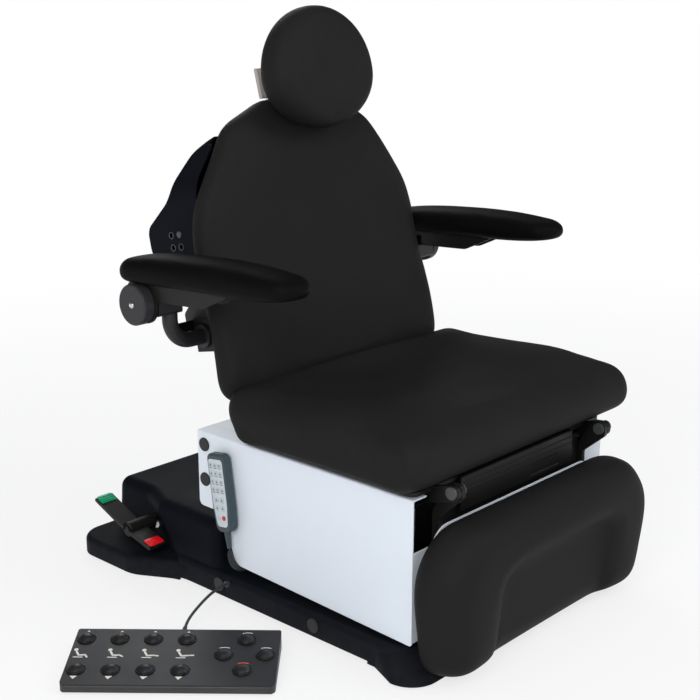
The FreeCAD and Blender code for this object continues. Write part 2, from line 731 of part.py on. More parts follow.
def column_middle():
    return column_stage(1, RAIL_BOTTOM_Z + STAGE_STEP_Z, COLUMN_OUTER_TOP_Z + STAGE_STEP_Z)


def column_inner():
    head_low = COLUMN_TOP_Z - COLUMN_HEAD
    tube = column_stage(2, RAIL_BOTTOM_Z + 2 * STAGE_STEP_Z, head_low)
    head = [(COLUMN_HALF_X, COLUMN_HALF_Y, COLUMN_CORNER), (COLUMN_HALF_X, -COLUMN_HALF_Y, COLUMN_CORNER)]
    return joined([tube, prism("xy", doubled(head), head_low, COLUMN_TOP_Z)])


def carriage_frame():
    """Welded frame on the column head that carries the panels and the seat's tilt pivot."""
    inner_face = PANEL_HALF_WIDTH - PANEL_SHEET
    beam_y = COLUMN_HALF_Y + BEAM_INSET_Y
    pieces = [box(-inner_face, inner_face, DECK_FRONT_Y, beam_y + BEAM_WIDTH, COLUMN_TOP_Z, COLUMN_TOP_Z + DECK_SHEET)]
    for y in (-beam_y - BEAM_WIDTH, beam_y):
        pieces.append(box(-inner_face, inner_face, y, y + BEAM_WIDTH, BEAM_BOTTOM_Z, COLUMN_TOP_Z))
    pieces.append(box(-inner_face, inner_face, REAR_BEAM_Y, REAR_BEAM_Y + BEAM_WIDTH, BEAM_BOTTOM_Z, COLUMN_TOP_Z))
    rear_face = PANEL_REAR_Y - PANEL_SHEET
    pieces += both_sides(box(inner_face - SIDE_RAIL, inner_face, PANEL_FRONT_Y + 10, rear_face,
                             BEAM_BOTTOM_Z, COLUMN_TOP_Z))
    pieces.append(box(-inner_face, inner_face, rear_face - SIDE_RAIL, rear_face, BEAM_BOTTOM_Z, COLUMN_TOP_Z))
    pieces.append(box(-FRONT_PLATE_HALF, FRONT_PLATE_HALF, FRONT_PLATE_Y, FRONT_PLATE_Y + 4,
                      FRONT_PLATE_BOTTOM_Z, FRONT_PLATE_TOP_Z))
    pieces += both_sides(box(COLUMN_HALF_X + 10, COLUMN_HALF_X + 30, FRONT_PLATE_Y, -beam_y,
                             BEAM_BOTTOM_Z, COLUMN_TOP_Z))
    ear = [(TILT_Y - EAR_EYE, COLUMN_TOP_Z - 5, 0.0), (TILT_Y + EAR_EYE, COLUMN_TOP_Z - 5, 0.0),
           (TILT_Y + EAR_EYE, TILT_Z + EAR_EYE - 2, 10.0), (TILT_Y - EAR_EYE, TILT_Z + EAR_EYE - 2, 10.0)]
    pieces += both_sides(prism("yz", ear, TILT_EAR_X, TILT_EAR_X + EAR_PLATE))
    frame = joined(pieces)
    reach = TILT_EAR_X + 3 * EAR_PLATE
    return frame.cut(rod_x(TILT_PIN_RADIUS + RUNNING, -reach, reach, TILT_Y, TILT_Z))


def side_panel(name):
    """Sheet panel with folded top and front edges and the curved cut-out above the base hump."""
    notch = PANEL_NOTCH_RIGHT_Z if name == "right" else PANEL_NOTCH_LEFT_Z
    middle_z = (PANEL_REAR_BOTTOM_Z + PANEL_BOTTOM_REAR_Z) / 2
    side = [(PANEL_REAR_Y, PANEL_TOP_Z - 8, 0.0), (PANEL_REAR_Y, PANEL_REAR_BOTTOM_Z, 12.0),
            (PANEL_CUT_Y, PANEL_REAR_BOTTOM_Z, 22.0), (PANEL_BULGE_Y, middle_z, 26.0),
            (PANEL_CUT_Y, PANEL_BOTTOM_REAR_Z, 24.0), (PANEL_FRONT_Y, PANEL_BOTTOM_FRONT_Z, 6.0),
            (PANEL_FRONT_Y, PANEL_TOP_Z - 8, 0.0)]
    inner = PANEL_HALF_WIDTH - PANEL_SHEET
    sheet = prism("yz", side, inner, PANEL_HALF_WIDTH)
    top_in = PANEL_HALF_WIDTH - PANEL_FLANGE
    top = [(top_in, PANEL_TOP_Z, 0.0), (PANEL_HALF_WIDTH, PANEL_TOP_Z, 4.0), (PANEL_HALF_WIDTH, PANEL_TOP_Z - 8, 0.0),
           (inner, PANEL_TOP_Z - 8, 0.0), (inner, PANEL_TOP_Z - PANEL_SHEET, 1.0), (top_in, PANEL_TOP_Z - PANEL_SHEET, 0.0)]
    top_fold = prism("xz", top, PANEL_FRONT_Y, PANEL_REAR_Y)
    fold_in = PANEL_HALF_WIDTH - PANEL_FRONT_FOLD
    front = [(fold_in, PANEL_BOTTOM_FRONT_Z + 6, 6.0), (PANEL_HALF_WIDTH - 1, PANEL_BOTTOM_FRONT_Z + 6, 0.0),
             (PANEL_HALF_WIDTH - 1, notch, 0.0), (fold_in, notch, 12.0)]
    front_fold = prism("xz", front, PANEL_FRONT_Y, PANEL_FRONT_Y + PANEL_SHEET)
    panel = joined([sheet, top_fold, front_fold])
    holes = [rod_x(PANEL_PLUG_RADIUS - 3 + SEAT_IN, inner - 5, PANEL_HALF_WIDTH + 5, PANEL_PLUG_Y, z)
             for z in (PANEL_PLUG_LOW_Z, PANEL_PLUG_HIGH_Z)]
    panel = panel.cut(holes)
    return panel if SIDES[name] > 0 else flipped(panel)


def panel_plugs():
    pieces = []
    inner = PANEL_HALF_WIDTH - PANEL_SHEET
    for side in SIDES.values():
        for z in (PANEL_PLUG_LOW_Z, PANEL_PLUG_HIGH_Z):
            head = rod_x(PANEL_PLUG_RADIUS, PANEL_HALF_WIDTH, PANEL_HALF_WIDTH + PLUG_HEAD, PANEL_PLUG_Y, z)
            head = softened(head, 0, [PANEL_HALF_WIDTH + PLUG_HEAD], 1.5)
            plug = joined([head, rod_x(PANEL_PLUG_RADIUS - 3, inner, PANEL_HALF_WIDTH, PANEL_PLUG_Y, z)])
            pieces.append(plug if side > 0 else flipped(plug))
    return Part.makeCompound(pieces)


def rear_panel():
    """Rear sheet with a deep folded top between the side panels' folds."""
    inner = PANEL_HALF_WIDTH - PANEL_SHEET
    half = PANEL_HALF_WIDTH - PANEL_FLANGE - PANEL_SEAM
    sheet = box(-inner, inner, PANEL_REAR_Y - PANEL_SHEET, PANEL_REAR_Y, PANEL_REAR_BOTTOM_Z, PANEL_TOP_Z)
    cap = box(-half, half, REAR_TOP_FRONT_Y, PANEL_REAR_Y, PANEL_TOP_Z - PANEL_SHEET, PANEL_TOP_Z)
    notch = box(-inner - 1, -half, PANEL_REAR_Y - PANEL_SHEET - 1, PANEL_REAR_Y + 1,
                PANEL_TOP_Z - PANEL_SHEET - PANEL_SEAM, PANEL_TOP_Z + 1)
    return joined([sheet, cap]).cut(both_sides(notch))


def seat_pins():
    """Middle, axis and radius of the tilt, back and leg hinge pins on the left side."""
    return [(TILT_EAR_X + EAR_PLATE + EAR_GAP / 2, TILT_Y, TILT_Z, TILT_PIN_RADIUS),
            (BACK_EAR_X + EAR_PLATE + EAR_GAP / 2, BACK_HINGE_Y, BACK_HINGE_Z, BACK_PIN_RADIUS),
            (LEG_BRACKET_X - EAR_GAP / 2, LEG_HINGE_Y, LEG_HINGE_Z, LEG_PIN_RADIUS)]


def seat_frame():
    """Seat pan with its stiffening lips, tilt ears, back hinge ears, front apron and leg hinge brackets."""
    pan = [(PAN_HALF_WIDTH, PAN_FRONT_Y, 20.0), (PAN_HALF_WIDTH, PAN_REAR_Y, 20.0)]
    pieces = [prism("xy", doubled(pan), PAN_BOTTOM_Z, PAN_TOP_Z)]
    lip_x = PANEL_HALF_WIDTH - PANEL_FLANGE - 6
    pieces += both_sides(box(lip_x - 6, lip_x, PAN_FRONT_Y + 40, PAN_REAR_Y - 20, PAN_BOTTOM_Z - PAN_LIP, PAN_BOTTOM_Z))
    tilt_x = TILT_EAR_X + EAR_PLATE + EAR_GAP
    tilt_ear = [(PAN_REAR_Y - 40, PAN_TOP_Z, 0.0), (PAN_REAR_Y - 40, PAN_BOTTOM_Z, 0.0),
                (TILT_Y - EAR_EYE, TILT_Z - EAR_EYE, 12.0), (TILT_Y + EAR_EYE, TILT_Z - EAR_EYE, 13.0),
                (TILT_Y + EAR_EYE - 8, PAN_TOP_Z, 0.0)]
    pieces += both_sides(prism("yz", tilt_ear, tilt_x, tilt_x + EAR_PLATE))
    back_ear = [(PAN_REAR_Y - 40, PAN_BOTTOM_Z, 0.0), (TILT_Y + 4, PAN_BOTTOM_Z, 8.0),
                (BACK_HINGE_Y + EAR_EYE, BACK_HINGE_Z - EAR_EYE, 13.0),
                (BACK_HINGE_Y + EAR_EYE, BACK_HINGE_Z + EAR_EYE, 13.0),
                (BACK_HINGE_Y - EAR_EYE, BACK_HINGE_Z + EAR_EYE, 13.0), (SEAT_REAR_Y + 6, PAN_TOP_Z + 12, 8.0),
                (SEAT_REAR_Y + 3, PAN_TOP_Z, 0.0), (PAN_REAR_Y - 40, PAN_TOP_Z, 0.0)]
    pieces += both_sides(prism("yz", back_ear, BACK_EAR_X, BACK_EAR_X + EAR_PLATE))
    bracket = [(LEG_BRACKET_REAR_Y, PAN_TOP_Z, 0.0), (LEG_BRACKET_REAR_Y, PAN_BOTTOM_Z - PAN_LIP, 8.0),
               (LEG_HINGE_Y + 40, LEG_HINGE_Z - LEG_BRACKET_DROP, 12.0), (LEG_HINGE_Y - EAR_EYE, LEG_HINGE_Z - EAR_EYE, 13.0),
               (LEG_HINGE_Y - EAR_EYE, LEG_HINGE_Z + EAR_EYE, 13.0), (LEG_HINGE_Y + EAR_EYE, LEG_HINGE_Z + EAR_EYE - 3, 8.0),
               (PAN_FRONT_Y, PAN_TOP_Z, 0.0)]
    pieces += both_sides(prism("yz", bracket, LEG_BRACKET_X, LEG_BRACKET_X + EAR_PLATE))
    pieces.append(box(-APRON_HALF_WIDTH, APRON_HALF_WIDTH, APRON_Y, APRON_Y + APRON_THICK, APRON_BOTTOM_Z, PAN_TOP_Z))
    pieces.append(box(-APRON_HALF_WIDTH, APRON_HALF_WIDTH, APRON_Y, PAN_FRONT_Y + 20, PAN_BOTTOM_Z, PAN_TOP_Z))
    frame = joined(pieces)
    holes = []
    for x, y, z, radius in seat_pins():
        holes += both_sides(rod_x(radius + RUNNING, x - 4 * EAR_PLATE, x + 4 * EAR_PLATE, y, z))
    return frame.cut(holes)


def hinge_pins():
    """Headed pins of the tilt, back and leg hinges, one of each per side."""
    pieces = []
    reach = EAR_GAP / 2 + EAR_PLATE
    for x, y, z, radius in seat_pins():
        shank = rod_x(radius, x - reach, x + reach, y, z)
        outer = rod_x(radius + 4, x + reach, x + reach + PIN_HEAD, y, z)
        inner = rod_x(radius + 4, x - reach - PIN_HEAD, x - reach, y, z)
        pieces += both_sides(joined([shank, outer, inner]))
    return Part.makeCompound(pieces)


def seat_cushion():
    bottom = PAN_TOP_Z + SOFT_GAP
    turn = SEAT_EDGE_RADIUS + 2
    side = [(SEAT_REAR_Y, bottom, turn), (SEAT_REAR_Y, SEAT_REAR_TOP_Z, turn),
            (SEAT_CREST_Y, SEAT_CREST_TOP_Z, 320.0), (SEAT_FRONT_Y, SEAT_CREST_TOP_Z - 20, 56.0),
            (SEAT_FRONT_Y, SEAT_NOSE_Z, turn), (SEAT_FRONT_Y + 62, bottom, turn)]
    block = prism("yz", side, -SEAT_HALF_WIDTH, SEAT_HALF_WIDTH)
    return softened(block, 0, [-SEAT_HALF_WIDTH, SEAT_HALF_WIDTH], SEAT_EDGE_RADIUS)


def leg_frame():
    """Two hinge arms that carry the leg pad's back plate."""
    rear = LEG_REAR_Y + SOFT_GAP + LEG_PLATE_THICK
    out = LEG_LUG_X + EAR_PLATE
    arm = [(LEG_HINGE_Y - EAR_EYE, LEG_HINGE_Z + EAR_EYE, 13.0), (LEG_HINGE_Y - EAR_EYE, LEG_HINGE_Z - EAR_EYE, 13.0),
           (rear, LEG_TOP_Z + 6, 8.0), (rear, LEG_LUG_BOTTOM_Z, 0.0), (rear + LEG_LUG_DEEP, LEG_LUG_BOTTOM_Z, 10.0),
           (rear + LEG_LUG_DEEP, LEG_TOP_Z + 14, 24.0), (LEG_HINGE_Y + EAR_EYE, LEG_HINGE_Z + EAR_EYE, 13.0)]
    bore = rod_x(LEG_PIN_RADIUS + RUNNING, LEG_LUG_X - 1, out + 1, LEG_HINGE_Y, LEG_HINGE_Z)
    return Part.makeCompound(both_sides(prism("yz", arm, LEG_LUG_X, out).cut(bore)))


def leg_plate():
    face = [(LEG_PLATE_HALF, LEG_PLATE_BOTTOM_Z, LEG_PLATE_CORNER), (LEG_PLATE_HALF, LEG_PLATE_TOP_Z, LEG_PLATE_CORNER)]
    low = LEG_REAR_Y + SOFT_GAP
    return prism("xz", doubled(face), low, low + LEG_PLATE_THICK)


def leg_cushion():
    face = [(LEG_FOOT_HALF, LEG_BOTTOM_Z, LEG_FOOT_CORNER), (LEG_HALF_WIDTH, LEG_CALF_Z, LEG_CALF_ROUND),
            (LEG_HALF_WIDTH, LEG_TOP_Z, LEG_CORNER)]
    front = LEG_REAR_Y - LEG_THICK
    pad = prism("xz", doubled(face), front, LEG_REAR_Y)
    pad = softened(pad, 1, [front], LEG_EDGE_RADIUS)
    pad = softened(pad, 1, [LEG_REAR_Y], LEG_EDGE_RADIUS)
    # the calf scoop runs out at the bottom edge
    open_z = LEG_BOTTOM_Z - LEG_SCOOP_SLOPE
    mouth = [(LEG_SCOOP_HALF, open_z, 0.0), (LEG_SCOOP_HALF, LEG_SCOOP_TOP_Z, LEG_SCOOP_CORNER)]
    floor_half = LEG_SCOOP_HALF - LEG_SCOOP_SLOPE
    floor = [(floor_half, open_z, 0.0), (floor_half, LEG_SCOOP_TOP_Z - LEG_SCOOP_SLOPE, LEG_SCOOP_CORNER - LEG_SCOOP_SLOPE)]
    return pad.cut(loft("xz", doubled(mouth), front, doubled(floor), front + LEG_SCOOP_DEEP))


def back_cushion():
    face = [(BACK_LOW_HALF, BACK_PAD_BOTTOM, 46.0), (BACK_SHOULDER_HALF, BACK_SHOULDER, 200.0),
            (BACK_CROWN_HALF, BACK_CROWN, 110.0), (BACK_TOP_HALF, BACK_PAD_TOP, 90.0)]
    pad = prism("xz", doubled(face), BACK_FRONT, BACK_REAR)
    pad = softened(pad, 1, [BACK_FRONT], BACK_EDGE_RADIUS)
    return to_back(softened(pad, 1, [BACK_REAR], BACK_REAR_RADIUS))


def arm_tube_place():
    return back_point(PAD_BACK + ARM_TUBE_BACK, ARM_TUBE_UP)


def back_frame():
    """Back plate with hinge ears, headrest guide and the two arm mount blocks."""
    plate = [(BACK_PLATE_HALF, BACK_PAD_BOTTOM, 10.0), (BACK_PLATE_HALF, BACK_PLATE_TOP, 60.0)]
    pieces = [prism("xz", doubled(plate), PAD_BACK, PLATE_REAR)]
    ear_x = BACK_EAR_X + EAR_PLATE + EAR_GAP
    ear = [(-EAR_EYE, -EAR_EYE, 13.0), (EAR_EYE, -EAR_EYE, 13.0), (EAR_EYE, EAR_EYE, 20.0),
           (PLATE_REAR, BACK_PAD_BOTTOM + 60, 0.0), (PAD_BACK, BACK_PAD_BOTTOM + 60, 0.0),
           (PAD_BACK, BACK_PAD_BOTTOM - 4, 0.0), (-EAR_EYE, EAR_EYE - 8, 5.0)]
    pieces += both_sides(prism("yz", ear, ear_x, ear_x + EAR_PLATE))
    guide_half = POST_HALF_WIDTH + SLIDING
    guide_deep = PLATE_REAR + POST_THICK + 2 * SLIDING
    pieces.append(box(-guide_half - GUIDE_WALL, guide_half + GUIDE_WALL, PLATE_REAR - 1, guide_deep + GUIDE_WALL,
                      GUIDE_BOTTOM, GUIDE_TOP))
    pieces += both_sides(box(BACK_PLATE_HALF - 14, ARM_BLOCK_END_X, PAD_BACK, PAD_BACK + ARM_BLOCK_DEEP,
                             ARM_TUBE_UP - ARM_BLOCK_HIGH / 2, ARM_TUBE_UP + ARM_BLOCK_HIGH / 2))
    pieces += both_sides(box(ARM_BLOCK_END_X - 40, ARM_STOP_X, PAD_BACK + ARM_BLOCK_DEEP, PAD_BACK + ARM_BLOCK_DEEP + ARM_STOP,
                             ARM_TUBE_UP - ARM_STOP_DROP, ARM_TUBE_UP + ARM_BLOCK_HIGH / 2))
    slot = box(-guide_half, guide_half, PLATE_REAR, guide_deep, GUIDE_BOTTOM - 1, GUIDE_TOP + 1)
    hinge = rod_x(BACK_PIN_RADIUS + RUNNING, -ear_x - 2 * EAR_PLATE, ear_x + 2 * EAR_PLATE, 0, 0)
    socket = rod_x(ARM_TUBE_RADIUS + RUNNING, ARM_TUBE_IN_X, ARM_BLOCK_END_X + 1,
                   PAD_BACK + ARM_TUBE_BACK, ARM_TUBE_UP)
    return to_back(joined(pieces).cut([slot, hinge] + both_sides(socket)))


def shell_form(inset):
    half = SHELL_HALF_WIDTH - inset
    bottom = SHELL_BOTTOM + inset
    top = SHELL_TOP - inset
    deep = SHELL_DEEP - inset
    side = [(PAD_BACK, bottom, 0.0), (SHELL_LOW_DEEP - inset, bottom, 24.0), (deep, SHELL_BULGE - 45, 60.0),
            (deep, SHELL_BULGE + 32, 30.0),
            (SHELL_WAIST_DEEP - inset, SHELL_WAIST_UP, 60.0), (SHELL_HIGH_DEEP - inset, top - 32, 40.0), (PAD_BACK, top, 0.0)]
    face = [(half, bottom, 40.0), (half, SHELL_SHOULDER, 90.0), (SHELL_TOP_HALF - inset, top, 50.0)]
    return prism("yz", side, -half, half).common(prism("xz", doubled(face), PAD_BACK, SHELL_DEEP + 10))


def shell_holes():
    """Accessory bolt holes in a side wall, from the back hinge (y, z)."""
    return [(SHELL_HOLE_BACK + i * SHELL_HOLE_SPACING, SHELL_HOLE_UP + j * SHELL_HOLE_SPACING)
            for i in (0, 1) for j in (0, 1)]


def back_shell():
    """Moulded rear cover with accessory bolt holes in both side walls."""
    shell = shell_form(0).cut(shell_form(SHELL_WALL))
    cuts = [box(-BACK_PLATE_HALF - SEAT_IN, BACK_PLATE_HALF + SEAT_IN, PAD_BACK - 1, PLATE_REAR,
                SHELL_BOTTOM - 10, SHELL_TOP + 10)]
    half = POST_HALF_WIDTH + SLIDING
    cuts.append(box(-half - 2, half + 2, PLATE_REAR - 1, PLATE_REAR + POST_THICK + 4, GUIDE_TOP, SHELL_TOP + 10))
    for y, z in shell_holes():
        cuts.append(rod_x(SHELL_HOLE_RADIUS, -SHELL_HALF_WIDTH - 5, SHELL_HALF_WIDTH + 5, y, z))
    return to_back(shell.cut(cuts).removeSplitter())


def arm_tube(name):
    """Bent tube from the back's mount block up to the knuckle that carries the arm pivot."""
    y, z = arm_tube_place()
    bend = ARM_TUBE_BEND
    knuckle_low = ARM_HUB_Z - KNUCKLE_EYE
    turn_x = ARM_TUBE_X - bend
    disc = Part.Face(Part.Wire([Part.makeCircle(ARM_TUBE_RADIUS, Vector(turn_x, y, z), Vector(1, 0, 0))]))
    elbow = disc.revolve(Vector(turn_x, y, z + bend), Vector(0, 1, 0), -90)
    runs = [rod_x(ARM_TUBE_RADIUS, ARM_TUBE_IN_X + 2, turn_x, y, z)]
    runs.append(rod_z(ARM_TUBE_RADIUS, z + bend, knuckle_low + 6, ARM_TUBE_X, y))
    collar = rod_x(ARM_COLLAR_RADIUS, ARM_BLOCK_END_X, ARM_BLOCK_END_X + ARM_COLLAR, y, z)
    front = y - ARM_TUBE_RADIUS - 4
    rear = ARM_HUB_Y + KNUCKLE_EYE
    eye = KNUCKLE_EYE - 3
    side = [(front, knuckle_low, 6.0), (rear, knuckle_low, eye), (rear, ARM_HUB_Z + KNUCKLE_EYE, eye),
            (front, ARM_HUB_Z + KNUCKLE_EYE - 10, 6.0)]
    knuckle = prism("yz", side, KNUCKLE_IN_X, ARM_X + KNUCKLE_HALF)
    bore = rod_x(ARM_PIN_RADIUS + RUNNING, ARM_X - 2 * KNUCKLE_HALF, ARM_X + 2 * KNUCKLE_HALF, ARM_HUB_Y, ARM_HUB_Z)
    tube = joined([elbow] + runs)
    whole = tube.fuse(knuckle.cut(bore)).fuse(collar)
    return whole if SIDES[name] > 0 else flipped(whole)


def arm_channel(name):
    """Channel with a rising nose, open below; the outer cheek runs back round the pivot, the inner one stops short."""
    round_end = ARM_HUB_RADIUS - 2
    side = [(CHANNEL_FRONT_Y, CHANNEL_TOP_Z, 0.0), (CHANNEL_FRONT_Y, CHANNEL_TOP_Z - CHANNEL_SHEET, 0.0),
            (CHANNEL_FRONT_Y + CHANNEL_NOSE_RUN, CHANNEL_SKIRT_Z, 24.0), (ARM_HUB_Y - ARM_HUB_RADIUS - 8, CHANNEL_SKIRT_Z, 10.0),
            (ARM_HUB_Y - round_end, ARM_HUB_Z - round_end, 36.0), (ARM_HUB_Y + round_end, ARM_HUB_Z - round_end, 42.0),
            (ARM_HUB_Y + round_end, CHANNEL_TOP_Z, 14.0)]
    cut_y = ARM_HUB_Y - CHEEK_CUT
    inside = side[:3] + [(cut_y, CHANNEL_SKIRT_Z, 6.0), (cut_y, CHANNEL_TOP_Z, 0.0)]
    pieces = [prism("yz", side, ARM_X + CHEEK_INNER, ARM_X + CHEEK_OUTER),
              prism("yz", inside, ARM_X - CHEEK_OUTER, ARM_X - CHEEK_INNER)]
    pieces.append(box(ARM_X - CHEEK_OUTER, ARM_X + CHEEK_OUTER, CHANNEL_FRONT_Y, ARM_HUB_Y + round_end - 14,
                      CHANNEL_TOP_Z - CHANNEL_SHEET, CHANNEL_TOP_Z))
    bore = rod_x(ARM_PIN_RADIUS + RUNNING, ARM_X - 2 * CHEEK_OUTER, ARM_X + 2 * CHEEK_OUTER, ARM_HUB_Y, ARM_HUB_Z)
    channel = to_arm(joined(pieces).cut(bore))
    return channel if SIDES[name] > 0 else flipped(channel)


def arm_hub(name):
    """Round cap with the pivot pin."""
    face = ARM_X + CHEEK_OUTER
    cap = softened(rod_x(ARM_HUB_RADIUS, face, face + ARM_HUB_THICK, ARM_HUB_Y, ARM_HUB_Z), 0, [face + ARM_HUB_THICK], 4.0)
    inner = KNUCKLE_IN_X - 1
    pin = rod_x(ARM_PIN_RADIUS, inner - PIN_HEAD, face, ARM_HUB_Y, ARM_HUB_Z)
    head = rod_x(ARM_PIN_RADIUS + 5, inner - PIN_HEAD, inner, ARM_HUB_Y, ARM_HUB_Z)
    hub = joined([cap, pin, head])
    return hub if SIDES[name] > 0 else flipped(hub)


def arm_pad(name):
    bottom = CHANNEL_TOP_Z + SOFT_GAP
    top = bottom + ARM_PAD_THICK
    plan = [(ARM_PAD_FRONT_HALF, ARM_PAD_FRONT_Y, 44.0), (ARM_PAD_REAR_HALF, ARM_PAD_REAR_Y, 50.0)]
    pad = prism("xy", doubled(plan), bottom, top)
    pad = softened(pad, 2, [top], ARM_PAD_EDGE_RADIUS)
    pad = softened(pad, 2, [bottom], ARM_PAD_EDGE_RADIUS * 0.8)
    pad.translate(Vector(ARM_X, 0, 0))
    pad = to_arm(pad)
    return pad if SIDES[name] > 0 else flipped(pad)


def head_low_pivot():
    return back_point(POST_MID, POST_KNUCKLE)


def head_high_pivot():
    return head_point(HEAD_THICK / 2 + SOFT_GAP + HEAD_PLATE + HEAD_EYE_BACK, 0)


def headrest_post():
    """Flat post in the back's guide, with two prongs for the link at its top."""
    low = PLATE_REAR + SLIDING
    bar = box(-POST_HALF_WIDTH, POST_HALF_WIDTH, low, low + POST_THICK, POST_BOTTOM, POST_KNUCKLE - HEAD_EYE_RADIUS - 8)
    inner = LINK_HALF + 1
    prong = [(POST_MID - HEAD_EYE_RADIUS, POST_KNUCKLE - HEAD_EYE_RADIUS - 12, 0.0),
             (POST_MID + HEAD_EYE_RADIUS, POST_KNUCKLE - HEAD_EYE_RADIUS - 12, 0.0),
             (POST_MID + HEAD_EYE_RADIUS, POST_KNUCKLE + HEAD_EYE_RADIUS, 13.0),
             (POST_MID - HEAD_EYE_RADIUS, POST_KNUCKLE + HEAD_EYE_RADIUS, 13.0)]
    pieces = [bar] + both_sides(prism("yz", prong, inner, inner + FORK_ARM))
    bore = rod_x(HEAD_PIN_RADIUS + RUNNING, -50, 50, POST_MID, POST_KNUCKLE)
    return to_back(joined(pieces).cut(bore))


def headrest_link():
    """Short link with a cross pin at each end; the lower pin reaches out for the lever."""
    low_y, low_z = head_low_pivot()
    high_y, high_z = head_high_pivot()
    along = Vector(0, high_y - low_y, high_z - low_z)
    bar = Part.makeBox(2 * LINK_HALF, along.Length, HEAD_EYE_RADIUS)
    bar.translate(Vector(-LINK_HALF, 0, -HEAD_EYE_RADIUS / 2))
    bar.rotate(Vector(0, 0, 0), Vector(1, 0, 0), math.degrees(math.atan2(along.z, along.y)))
    bar.translate(Vector(0, low_y, low_z))
    pieces = [bar]
    reach = LINK_HALF + 1 + FORK_ARM
    for y, z in ((low_y, low_z), (high_y, high_z)):
        pieces.append(rod_x(HEAD_EYE_RADIUS - 2, -LINK_HALF, LINK_HALF, y, z))
        pieces.append(rod_x(HEAD_PIN_RADIUS, -reach, reach, y, z))
    pieces.append(rod_x(HEAD_PIN_RADIUS, -reach - LEVER_HUB + 2, -reach, low_y, low_z))
    return joined(pieces)


def headrest_plate():
    """Plate behind the head pad with two ears for the link."""
    low = HEAD_THICK / 2 + SOFT_GAP
    rear = low + HEAD_PLATE
    face = [(HEAD_PLATE_HALF, -HEAD_PLATE_HALF, 14.0), (HEAD_PLATE_HALF, HEAD_PLATE_HALF, 14.0)]
    inner = LINK_HALF + 1
    eye = rear + HEAD_EYE_BACK
    ear = [(low, -HEAD_EYE_RADIUS - 8, 0.0), (rear, -HEAD_EYE_RADIUS - 8, 0.0), (eye + HEAD_EYE_RADIUS, -HEAD_EYE_RADIUS, 13.0),
           (eye + HEAD_EYE_RADIUS, HEAD_EYE_RADIUS, 13.0), (rear, HEAD_EYE_RADIUS + 8, 0.0), (low, HEAD_EYE_RADIUS + 8, 0.0)]
    pieces = [prism("xz", doubled(face), low, rear)] + both_sides(prism("yz", ear, inner, inner + FORK_ARM))
    return to_head(joined(pieces).cut(rod_x(HEAD_PIN_RADIUS + RUNNING, -50, 50, eye, 0)))


def headrest_pad():
    """Egg-shaped pad, fuller at the top, with a deeply rounded edge."""
    centre = Vector(0, 0, -HEAD_CENTRE_DROP)
    front = -HEAD_THICK / 2
    arcs = []
    for reach, start in ((HEAD_UP, 0), (HEAD_DOWN, math.pi)):
        curve = Part.Ellipse(Vector(HEAD_HALF_WIDTH, 0, 0), Vector(0, reach, 0), Vector(0, 0, 0))
        arcs.append(Part.ArcOfEllipse(curve, start, start + math.pi).toShape())
    pad = Part.Face(Part.Wire(arcs)).extrude(Vector(0, 0, HEAD_THICK))
    pad.rotate(Vector(0, 0, 0), Vector(1, 0, 0), 90)
    pad.translate(centre + Vector(0, -front, 0))
    pad = softened(pad, 1, [front, -front], HEAD_EDGE_RADIUS)
    return to_head(pad)


def headrest_lever():
    """Release lever on the end of the lower pin: hub, cross arm and a flat grip."""
    y, z = head_low_pivot()
    inner = -(LINK_HALF + 1 + FORK_ARM) - LEVER_SIDE_GAP
    hub = rod_x(LEVER_RADIUS + 2, inner - LEVER_HUB, inner, y, z)
    arm = rod_x(LEVER_RADIUS - 3, inner - LEVER_REACH, inner - LEVER_HUB, y, z)
    half = LEVER_RADIUS / 2
    side = [(-LEVER_LONG, -half, 3.0), (LEVER_RADIUS, -half, 3.0), (LEVER_RADIUS, half, 3.0), (-LEVER_LONG, half, 3.0)]
    grip = prism("yz", side, -LEVER_GRIP / 2, LEVER_GRIP / 2)
    grip.rotate(Vector(0, 0, 0), Vector(1, 0, 0), LEVER_DROP)
    grip.translate(Vector(inner - LEVER_REACH, y, z))
    bore = rod_x(HEAD_PIN_RADIUS + RUNNING, inner - LEVER_HUB + 1, inner + 1, y, z)
    return joined([hub, arm, grip]).cut(bore)


def hand_point(up):
    """Place of a point on the leaning hand control's middle line, given from its middle height."""
    turn = math.radians(HAND_LEAN)
    middle = (HAND_TOP_Z + HAND_BOTTOM_Z) / 2
    return HAND_Y + up * math.sin(turn), middle + up * math.cos(turn)


def handset():
    """Hand control hung on the right panel by a hook, with a tapered cord tail."""
    half_high = (HAND_TOP_Z - HAND_BOTTOM_Z) / 2
    rear_x = PANEL_HALF_WIDTH + HAND_STANDOFF
    front_x = rear_x + HAND_THICK
    side = [(-HAND_FOOT_WIDTH / 2, -half_high, 16.0), (HAND_FOOT_WIDTH / 2, -half_high, 16.0),
            (HAND_WIDTH / 2, -half_high + 50, 60.0), (HAND_WIDTH / 2, half_high, 12.0),
            (-HAND_WIDTH / 2, half_high, 12.0), (-HAND_WIDTH / 2, -half_high + 50, 60.0)]
    body = softened(prism("yz", side, -front_x, -rear_x), 0, [-front_x, -rear_x], HAND_EDGE_RADIUS)
    hook = rod_x(HAND_HOOK_RADIUS, -rear_x - 1, -PANEL_HALF_WIDTH, 0, half_high - 24)
    rest = rod_x(HAND_HOOK_RADIUS / 2, -rear_x - 1, -PANEL_HALF_WIDTH, 0, -half_high + 40)
    middle_x = -(rear_x + front_x) / 2
    tail = Part.makeCone(HAND_TAIL_RADIUS, COIL_RADIUS - 2, HAND_TAIL + 4, Vector(middle_x, 0, -half_high + 4), Vector(0, 0, -1))
    whole = joined([body, hook, rest, tail])
    whole.rotate(Vector(0, 0, 0), Vector(1, 0, 0), -HAND_LEAN)
    whole.translate(Vector(0, *hand_point(0)))
    return whole


